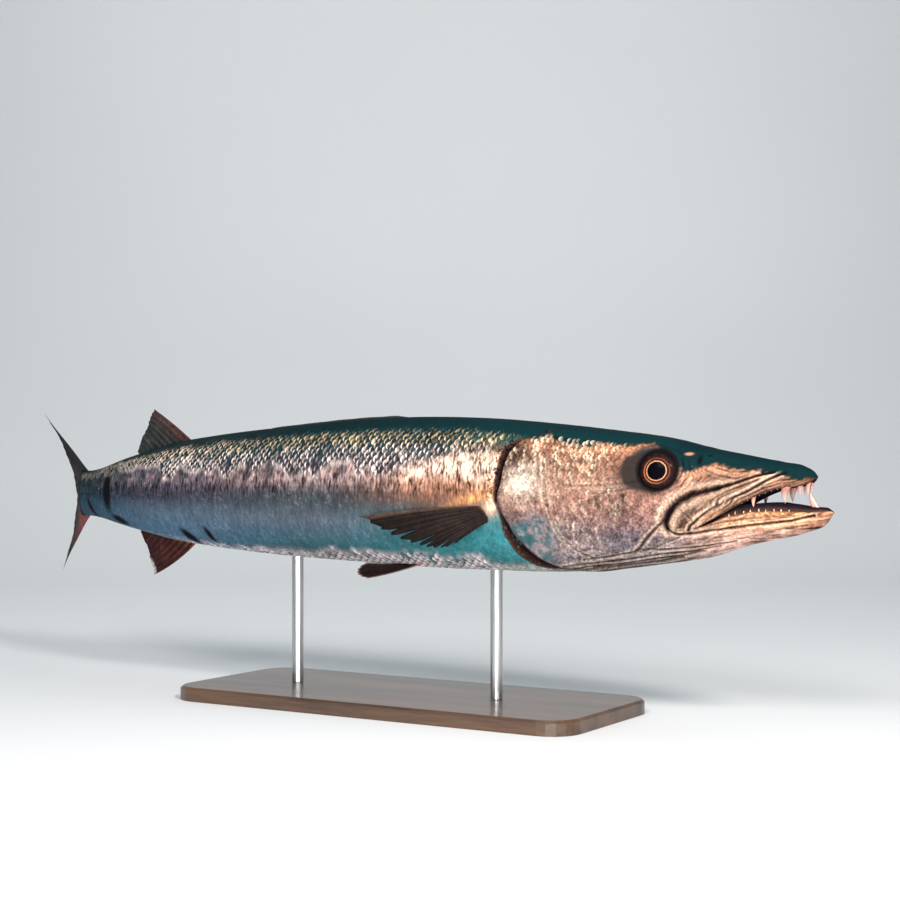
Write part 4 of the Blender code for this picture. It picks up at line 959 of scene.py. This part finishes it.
for side, word in SIDES:
    roots = quincunx(156.0, 300.0, lambda a: CHEEK_PITCH, CHEEK_ROWS)
    a = roots[:, 0] + rng.normal(0, 0.45, len(roots))
    share = np.clip(roots[:, 1] + rng.normal(0, 0.0025, len(roots)), 0, 1)
    turn = turn_of(a, share)
    h = shell(a, turn)[1]
    keep = (gill_place(a, turn)[0] < -7.5) & (h < curve(CROWN, a) + 1.5) & (h > -44 - 0.03 * (a - 160))
    keep &= (from_socket(a, h) > 27) & ~((a > 238) & (h < -12 + 4 * wave(a, h, 0, 21, 9)))
    keep &= (a > 158 + 0.75 * np.maximum(-h - 4, 0)) & (to_line(a, h, PREOPERCLE) > 1.5)
    a, share = a[keep], share[keep]
    size = np.full(len(a), CHEEK_LENGTH), np.full(len(a), CHEEK_WIDTH)
    scale_pieces.append(lay_scales("scales_cheek_" + word, a, share, *size, cheek_material, cheek_rise, 0.2,
                                   cheek_shade, side))


# Fins.
def bezier(a, b, c, t):
    return a * (1 - t) ** 2 + b * (2 * t * (1 - t)) + c * t * t


def fan(count, roots, tips, bow):
    """Rays (root, middle, tip) spread evenly along a line of roots and one of tips."""
    roots, tips = np.array(roots, float), np.array(tips, float)
    rays = []
    for t in np.arange(count) / (count - 1):
        root, tip = bezier(*roots, t), bezier(*tips, t)
        rays.append((root, (root + tip) / 2 + np.array(bow) * np.linalg.norm(tip - root), tip))
    return rays


def fin(name, rays, tint, root_thick, fray=0.03, ripple=0.0, fine=6, rows=30, seed=1, splits=()):
    """A membrane over rays. Each ray is a ridge in both faces, forks near its tip and frays at the edge."""
    count = len(rays)
    pos = np.linspace(0, count - 1, (count - 1) * fine + 1)
    low = np.minimum(pos.astype(int), count - 2)
    t = (pos - low)[:, None]
    rays = np.array(rays)
    root, bow, tip = ((rays[low, k] * (1 - t) + rays[low + 1, k] * t)[:, None] for k in range(3))
    v = np.linspace(0, 1, rows + 1)[None, :]
    main, fork = np.cos(math.pi * pos) ** 2, np.cos(2 * math.pi * pos) ** 2
    reach = 1 - fray * (1 - main) * (0.6 + 0.8 * np.abs(np.sin(pos * 2.3 + seed)))
    reach = reach - fray * 0.5 * (1 - fork) * np.abs(np.sin(pos * 5.1 + seed))
    for gap, deep in splits:
        reach = reach - deep * bell(pos, gap, 0.11)
    main, fork, wide = main[:, None], fork[:, None], pos[:, None]
    middle = bezier(root, bow, tip, (v * reach[:, None])[..., None])
    normal = np.cross(np.gradient(middle, axis=1), np.gradient(middle, axis=0))
    normal /= np.maximum(np.linalg.norm(normal, axis=-1, keepdims=True), 1e-9)
    ridge = np.clip(main * (1 - 0.45 * v) + fork * (0.45 * step(0.35, 0.7, v)), 0, 1) ** 1.3
    joints = 1 - 0.12 * (0.5 + 0.5 * np.cos(v * rows * 1.9)) * ridge
    thick = np.maximum((root_thick + (0.5 - root_thick) * v**0.7) * (0.34 + 0.66 * ridge) * joints, 0.34)
    wander = ripple * np.sin(wide * 1.4 + seed) * v**1.5 + 0.25 * ripple * np.sin(wide * 3.7) * v
    middle, half = middle + normal * wander[..., None], normal * (thick / 2)[..., None]
    v, w = np.broadcast_arrays(v, wide / (count - 1))
    index = np.arange(v.size).reshape(v.shape)
    face, rim = halves(*corners(index)), border(index.T)
    under, after = rim + v.size, np.roll(rim, -1)
    faces = np.concatenate([face, face[:, ::-1] + v.size, np.stack([rim, under, after + v.size], -1),
                            np.stack([rim, after + v.size, after], -1)])
    points = np.concatenate([(middle + half).reshape(-1, 3), (middle - half).reshape(-1, 3)])
    colours = np.concatenate([tint(v, w, ridge).reshape(-1, 3)] * 2)
    made = new_mesh(name, place(points), faces, fin_material, colours)
    flat = np.stack([w, v], -1).reshape(-1, 2) * [0.47, 0.98]
    bake_unwrap(made, np.concatenate([0.01 + flat, np.array([0.52, 0.01]) + flat]))
    return made


# Colours of the fins, by v from root to tip, w from the first ray to the last, and the ridges of the rays.
def dusky(v, w, ridge):
    return lay(mix((18, 12, 11), (54, 38, 31), ridge * 0.6 * (1 - 0.3 * v)),
               ((9, 7, 8), 0.55 * step(0.45, 1, v)),
               ((120, 92, 80), 0.3 * (1 - step(0.02, 0.06, w)) * step(0.1, 0.3, v)),
               ((214, 150, 92), 0.8 * (1 - step(0.0, 0.14, v)) * (1 - step(0.3, 0.8, w))))


def rusty(v, w, ridge):
    return lay(mix((44, 20, 18), (92, 48, 42), ridge * 0.7),
               ((226, 150, 112), 0.6 * ridge * (1 - step(0.02, 0.28, v))),
               ((34, 19, 20), 0.6 * step(0.4, 0.9, v)),
               ((226, 216, 214), step(0.94, 1.0, v) * (1 - step(0.25, 0.5, w))))


def pelvic_tint(v, w, ridge):
    edge = np.maximum(1 - step(0.02, 0.06, w), step(0.93, 0.98, w)) * (0.5 + 0.5 * (1 - step(0.0, 0.4, v)))
    return lay(mix((14, 8, 7), (44, 24, 20), ridge * 0.7),
               ((190, 150, 140), np.clip(0.6 * edge + 0.5 * step(0.96, 1, v), 0, 1)),
               ((236, 170, 120), 0.8 * (1 - step(0.0, 0.3, v)) * (1 - step(0.1, 0.3, w))))


def dorsal_tint(v, w, ridge):
    return lay(mix((26, 32, 35), (74, 66, 60), ridge * 0.7),
               ((40, 66, 72), 0.5 * step(0.4, 0.9, w) * (1 - ridge)),
               ((104, 56, 44), 0.35 * (1 - step(0.05, 0.3, w)) * (1 - 0.6 * v)))


def tail_tint(v, w, ridge):
    return mix((12, 13, 15), (44, 37, 36), ridge * 0.6)


def low_tail_tint(v, w, ridge):
    return lay(tail_tint(v, w, ridge), ((150, 66, 56), 0.8 * (1 - step(0.2, 0.85, v))),
               ((180, 186, 190), step(0.9, 1, v) * (1 - step(0.1, 0.3, w))))


def tail_rays(up, curl, reach):
    """Rays of one lobe of the tail fin, swept back, the longest ones the most."""
    middle = -7.0
    roots = ((905, 0, middle + up * 20), (936, 0, middle + up * 17), (944, 0, middle))
    tips = ((1132, curl, middle + up * reach), (1022, 0.25 * curl, middle + up * 44), (992, 0, middle))
    made = []
    for i, (root, bow, tip) in enumerate(fan(11, roots, tips, (0, 0, 0))):
        sweep = 1 - i / 10
        made.append((root, bow + np.array([6.0 * sweep, -0.3 * tip[1], -up * 10.0 * sweep]), tip))
    return made


dorsal_rays = fan(10, ((697, 0, 46), (739, 0, 38), (779, 0, 27)), ((766, 0, 90), (777, 0, 70), (795, 0, 43)),
                  (-0.02, 0, 0.05))
anal_rays = fan(10, ((695, 0, -50), (737, 0, -43), (774, 0, -34)),
                ((766, 0, -94), (769, 0, -74), (788, 0, -46)),
                (-0.03, 0, -0.10))
pieces = {
    "second_dorsal_fin": fin("second_dorsal", dorsal_rays, dorsal_tint, 2.4, fray=0.012, ripple=0.8, seed=2),
    "anal_fin": fin("anal", anal_rays, rusty, 2.4, fray=0.012, ripple=0.8, seed=3),
    "tail_fin_upper": fin("tail_upper", tail_rays(1, 0, 97), tail_tint, 3.0, ripple=0.5, rows=40, seed=4),
    "tail_fin_lower": fin("tail_lower", tail_rays(-1, 23, 103), low_tail_tint, 3.0, ripple=0.5, rows=40,
                          seed=5),
}
# Slits between the rays of the pectoral fins (ray, depth), and the tips of both pelvic fins.
SLITS = ((2.5, 0.08), (3.5, 0.2), (5.5, 0.26), (6.5, 0.12), (8.5, 0.3), (10.5, 0.24))
PELVIC_TIPS = {"right": ((458, -28, -84), (484, -27, -80), (462, -24, -68)),
               "left": ((455, 33, -72), (480, 31, -75), (464, 26, -71))}
for side, word in SIDES:
    pectoral_rays = fan(13, ((299, side * 48, -8), (297, side * 48, -13), (299, side * 47, -19)),
                        ((438, side * 73, -20), (354, side * 71, -61), (334, side * 62, -43)),
                        (0, side * 0.07, 0.035))
    pieces["pectoral_fin_" + word] = fin("pectoral_" + word, pectoral_rays, dusky, 2.4, ripple=1.2, fine=10,
                                         seed=6,
                                         splits=SLITS)
    pelvic_rays = fan(7, ((386, side * 19, -63), (392, side * 16, -64), (398, side * 12, -65)),
                      PELVIC_TIPS[word],
                      (0, side * 0.03, -0.05))
    pieces["pelvic_fin_" + word] = fin("pelvic_" + word, pelvic_rays, pelvic_tint, 2.2, fray=0.012,
                                       ripple=0.5, seed=7)


def folded_dorsal():
    """The first dorsal fin, folded in its groove: spines laid one over the next under a wrinkled membrane."""
    columns, around, start, end = 150, 12, 424, 602
    share = np.linspace(0, 1, columns + 1)[:, None]
    turn = np.linspace(0, 2 * math.pi, around, endpoint=False)[None, :]
    a = start + (end - start) * share
    wobble = (share * 5) % 1.0
    rise = 1.7 * step(0, 0.12, share) * (1 - 0.72 * share) * (0.72 + 0.28 * np.sin(math.pi * wobble)) + 0.5
    half = np.maximum(2.3 * (1 - 0.6 * share) * step(-0.02, 0.08, share), 0.5)
    outward = np.maximum(np.sin(turn), 0)
    s = half * np.cos(turn) * (1 - 0.25 * outward) + 0.25 * np.sin(a * 0.9) * outward
    h = (rise + 0.9) * np.maximum(np.sin(turn), -0.6)
    ends = np.sqrt(np.clip(1 - np.abs(2 * share - 1) ** 16, 0.01, 1))
    points = np.stack([a + 0 * turn, s * ends, column(PROFILE, 1, a) - 0.8 + h * ends], -1)
    colour = mix((14, 46, 48), (60, 54, 44), 0.5 + 0.5 * np.sin(wobble * 6.3 + turn * 2) * 0.8)
    faces = capped(np.arange((columns + 1) * around).reshape(columns + 1, around))
    return new_mesh("first_dorsal", place(points.reshape(-1, 3)), faces, fin_material, colour.reshape(-1, 3))


pieces["first_dorsal_fin"] = folded_dorsal()


def tooth_rings(root, tip, base, flat, rows=7, around=10):
    """A slightly curved lancet with an egg-shaped section."""
    axis = (tip - root) / np.linalg.norm(tip - root)
    forward = np.array([-1.0, 0, 0])
    forward = forward - axis * forward.dot(axis)
    forward /= np.linalg.norm(forward)
    across = np.cross(axis, forward)
    turn = np.linspace(0, 2 * math.pi, around, endpoint=False)
    rings = []
    for t in np.arange(rows) / (rows - 1):
        width = base / 2 * (1 - t**1.35) ** 0.9 + 0.06
        centre = root + (tip - root) * t - forward * base * 0.16 * math.sin(math.pi * t)
        ring = centre + forward * (width * np.cos(turn))[:, None]
        rings.append(ring + across * (width * flat * np.sin(turn))[:, None])
    return np.array(rings)


def all_teeth():
    """Rows of teeth, each (place along, length, base, lean back), then the tusk at the lower jaw's tip."""
    snout = ((7.0, 10.5, 5.0, 1.0), (13.5, 9.5, 5.2, 1.0), (25.0, 13.6, 9.2, 2.2))
    small = [(33 + 5.1 * i, 1.1 - 0.03 * i, 1.5, 0.4) for i in range(7)]
    lower = [(10 + 6.6 * i + 1.4 * math.sin(i * 3.1), 2.5 + 0.7 * math.sin(i * 2.2), 2.2, 0.3)
             for i in range(11)]
    made = []
    for lip, up, row, inset, sink in ((UPPER_LIP, -1, snout, 3.0, 2.6),
                                      (UPPER_LIP, -1, ((53.5, 9.0, 4.8, 1.0),), 4.0, 2.6),
                                      (UPPER_LIP, -1, small, 2.8, 1.4), (LOWER_LIP, 1, lower, 3.7, 1.4)):
        for side in (-1, 1):
            for a, length, base, lean in row:
                lip_h = float(curve(lip, a))
                wide = max(side_at(a, lip_h) - inset, 1.2)
                long = length * (1 + 0.08 * math.sin(a * 3.1 + side))
                root = np.array([a, side * wide, lip_h - up * sink])
                tip = np.array([a + lean, side * (wide - 0.12 * length), lip_h + up * long])
                made.append(tooth_rings(root, tip, base, 0.62))
    tusk_root = np.array([-0.8, 0.6, float(curve(LOWER_LIP, 0.0)) - 3])
    made.append(tooth_rings(tusk_root, np.array([9.0, 0, 9.6]), 8.4, 0.6))
    rings = np.array(made)
    count, rows, around, _ = rings.shape
    index = np.arange(count * rows * around).reshape(count, rows, around)
    t = np.broadcast_to(np.linspace(0, 1, rows)[None, :, None], index.shape)
    colour = mix((172, 110, 96), (204, 156, 140), step(0.1, 0.8, t)).reshape(-1, 3)
    faces = [face for tooth in index for face in capped(tooth)]
    return new_mesh("teeth", place(rings.reshape(-1, 3)), faces, tooth_material, colour)


teeth = all_teeth()

# Eyes.
eye_finish, eye_tree, eye_inputs = shader("eye", 0.5, 0.0, 0.025, 0.02, 0.03)
iris = times(eye_tree, read(eye_tree, "Paint", "Color"),
             ramp(eye_tree, noise(eye_tree, 900.0, 2.0), 0.3, 0.7, 0.75, 1.25))
eye_tree.links.new(iris, eye_inputs["Base Color"])


def eye(word, side):
    """Ball with a dark iris, a thin double gold ring and a black pupil."""
    rings, around = 110, 120
    angle = np.linspace(0, math.pi, rings)[:, None]
    turn = np.linspace(0, 2 * math.pi, around, endpoint=False)[None, :]
    r = np.sin(angle) * EYE_RADIUS
    z = np.cos(angle) * np.where(np.cos(angle) > 0, EYE_BULGE, EYE_BACK)
    local = np.stack([r * np.cos(turn), r * np.sin(turn), z + 0 * turn], -1).reshape(-1, 3)
    look = Vector((0.10, side, 0.20)).normalized()
    turned = local @ np.array(Vector((0, 0, 1)).rotation_difference(look).to_matrix()).T
    seat = side_at(EYE_A, EYE_H) - EYE_SINK
    points = np.stack([EYE_A - turned[:, 0], side * seat + turned[:, 1], EYE_H + turned[:, 2]], -1)
    a, _, h = points.T
    out = np.hypot(a - (EYE_A - 1.9), (h - (EYE_H - 0.2)) * 1.03)
    clock = np.arctan2(h - EYE_H, a - EYE_A)
    out = out + 0.14 * np.sin(clock * 3 + 1) * step(6, 12, out) + 0.08 * np.sin(clock * 11)
    ring = bell(out, 11.7, 0.5) * (0.25 + 0.65 * step(-0.4, 0.9, np.cos(clock + 0.5)))
    fleck = step(0.1, 0.8, speckle(a, h, 71, 1.1)) * step(9.6, 11, out) * (1 - step(15, 16, out))
    colour = lay(bands(EYE_BANDS, out), ((190, 108, 70), ring), ((96, 48, 36), 0.25 * fleck))
    colour[local[:, 2] < 0] = linear((18, 14, 14))
    faces = tube(np.arange(rings * around).reshape(rings, around))
    if side < 0:
        faces = faces[:, ::-1]
    made = new_mesh("eyeball_" + word, place(points), faces, eye_finish, colour)
    flat = local[:, :2] / EYE_RADIUS * 0.24
    bake_unwrap(made, np.where(local[:, 2:] >= 0, flat + [0.25, 0.5], flat + [0.75, 0.5]))
    return made


eyes = {word: eye(word, side) for side, word in SIDES}


# Stand.
def wood():
    made, tree, inputs = shader("stand_wood", 0.38, 0.0, 0.35)
    rings = noise(tree, 5.0, 5.0, (0.7, 9.0, 9.0), 0.6)
    fine = noise(tree, 60.0, 3.0, (0.5, 12.0, 12.0))
    mixed = maths(tree, "ADD", maths(tree, "MULTIPLY", rings, 0.75), maths(tree, "MULTIPLY", fine, 0.25))
    tone = tree.nodes.new("ShaderNodeValToRGB")
    ends = ((0.36, (0.020, 0.010, 0.006, 1)), (0.64, (0.115, 0.058, 0.030, 1)))
    for element, (position, colour) in zip(tone.color_ramp.elements, ends):
        element.position, element.color = position, colour
    tree.links.new(mixed, tone.inputs["Fac"])
    tree.links.new(tone.outputs["Color"], inputs["Base Color"])
    bump(tree, inputs, fine, 0.0002, 0.4)
    return made


def steel():
    made, tree, inputs = shader("stand_steel", 0.28, 1.0)
    streak = noise(tree, 500.0, 2.0, (1, 1, 0.03))
    tone = ramp(tree, streak, 0.3, 0.7, 0.42, 0.60)
    tree.links.new(grey(tree, tone, tone, tone), inputs["Base Color"])
    tree.links.new(ramp(tree, streak, 0.3, 0.7, 0.22, 0.36), inputs["Roughness"])
    return made


steel_finish = steel()
for name, finish in (("stand_base", wood()), ("stand_rod_front", steel_finish),
                     ("stand_rod_rear", steel_finish)):
    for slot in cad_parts[name].material_slots:
        slot.material = finish

# Ties to the solids.
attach(skin, "root")
for name in ("upper_jaw", "head", "lower_jaw", "maxilla_left", "maxilla_right", "gill_cover_left",
             "gill_cover_right",
             "trunk_front", "trunk_middle", "trunk_rear", "tail_stalk"):
    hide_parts(name)
for piece in scale_pieces:
    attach(piece, "root")
for name, piece in pieces.items():
    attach(piece, "root")
    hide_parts(name)
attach(teeth, "root")
for word, ball in eyes.items():
    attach(ball, "root")
    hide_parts("eye_" + word)

# Studio, laid out along the camera's view, in metres.
CAMERA_YAW = math.radians(31.445)
RIGHT = Vector((math.cos(CAMERA_YAW), math.sin(CAMERA_YAW), 0))
AHEAD = Vector((-math.sin(CAMERA_YAW), math.cos(CAMERA_YAW), 0))
UP = Vector((0, 0, 1))
SNOUT, CENTRE = Vector((SNOUT_X, 0, AXIS_HEIGHT)), Vector((0, 0, AXIS_HEIGHT))
FLOOR_FRONT, FLOOR_BACK, FLOOR_CURVE, WALL_TOP, HALF_FLOOR, FLOOR_DROP = -6.0, 1.6, 1.6, 7.0, 8.0, 0.0002


def studio():
    """A pale floor that curves up into the backdrop."""
    line = [(FLOOR_FRONT, -FLOOR_DROP), (FLOOR_BACK, -FLOOR_DROP)]
    for t in np.radians(90 * np.arange(1, 17) / 16):
        line.append((FLOOR_BACK + FLOOR_CURVE * math.sin(t), FLOOR_CURVE * (1 - math.cos(t))))
    line.append((FLOOR_BACK + FLOOR_CURVE, WALL_TOP))
    points = [RIGHT * w + AHEAD * d + UP * z for d, z in line for w in (-HALF_FLOOR, HALF_FLOOR)]
    faces = [(2 * i, 2 * i + 1, 2 * i + 3, 2 * i + 2) for i in range(len(line) - 1)]
    made, tree, inputs = shader("backdrop", 0.85)
    tone = ramp(tree, noise(tree, 0.8, 2.0), 0.3, 0.7, 0.70, 0.73)
    cool = grey(tree, tone, maths(tree, "MULTIPLY", tone, 1.02), maths(tree, "MULTIPLY", tone, 1.03))
    tree.links.new(cool, inputs["Base Color"])
    return new_mesh("backdrop", points, faces, made)


studio()

# Lights: place, target, size, height if it isn't square, power, colour.
LIGHTS = {
    "key": (SNOUT - AHEAD * 1.25 + RIGHT * 0.30 + UP * 0.95, CENTRE + Vector((0.2, 0, 0)), 0.30, 0, 31,
            (1.0, 0.94, 0.90)),
    "sweep": (CENTRE - AHEAD * 1.9 - RIGHT * 0.6 + UP * 1.3, CENTRE, 1.0, 0.6, 34, (1.0, 0.96, 0.94)),
    "fill": (CENTRE - AHEAD * 1.5 - UP * 0.14, CENTRE - UP * 0.06, 1.3, 0.12, 15, (0.90, 0.96, 1.0)),
    "top": (CENTRE + UP * 2.0 + AHEAD * 0.5, CENTRE, 1.8, 0, 9, (0.86, 0.96, 1.0)),
    "wash": (CENTRE + AHEAD * 1.3 + UP * 1.9, CENTRE + AHEAD * 3.2 + UP * 0.5, 2.4, 0.5, 17, (1.0, 1.0, 1.0)),
}
for name, (where, target, size, height, energy, colour) in LIGHTS.items():
    lamp = bpy.data.lights.new(name, "AREA")
    lamp.energy, lamp.color, lamp.size = energy, colour, size
    if height:
        lamp.shape, lamp.size_y = "RECTANGLE", height
    holder = bpy.data.objects.new(name, lamp)
    holder.location = where
    holder.rotation_euler = (target - where).to_track_quat("-Z", "Y").to_euler()
    bpy.context.scene.collection.objects.link(holder)

world = bpy.data.worlds.new("studio")
world.use_nodes = True
sky = world.node_tree.nodes["Background"].inputs
sky["Color"].default_value, sky["Strength"].default_value = (0.72, 0.80, 0.86, 1), 0.36
bpy.context.scene.world = world
bpy.context.scene.view_settings.view_transform = "Standard"

lens = bpy.data.cameras.new("camera")
lens.lens, lens.sensor_width = 68, 36
camera = bpy.data.objects.new("camera", lens)
camera.location = SNOUT - RIGHT * 0.3226 - AHEAD * 1.4868 + UP * 0.0447
camera.rotation_euler = (math.pi / 2, 0, CAMERA_YAW)
bpy.context.scene.collection.objects.link(camera)
bpy.context.scene.camera = camera

bpy.context.view_layer.update()
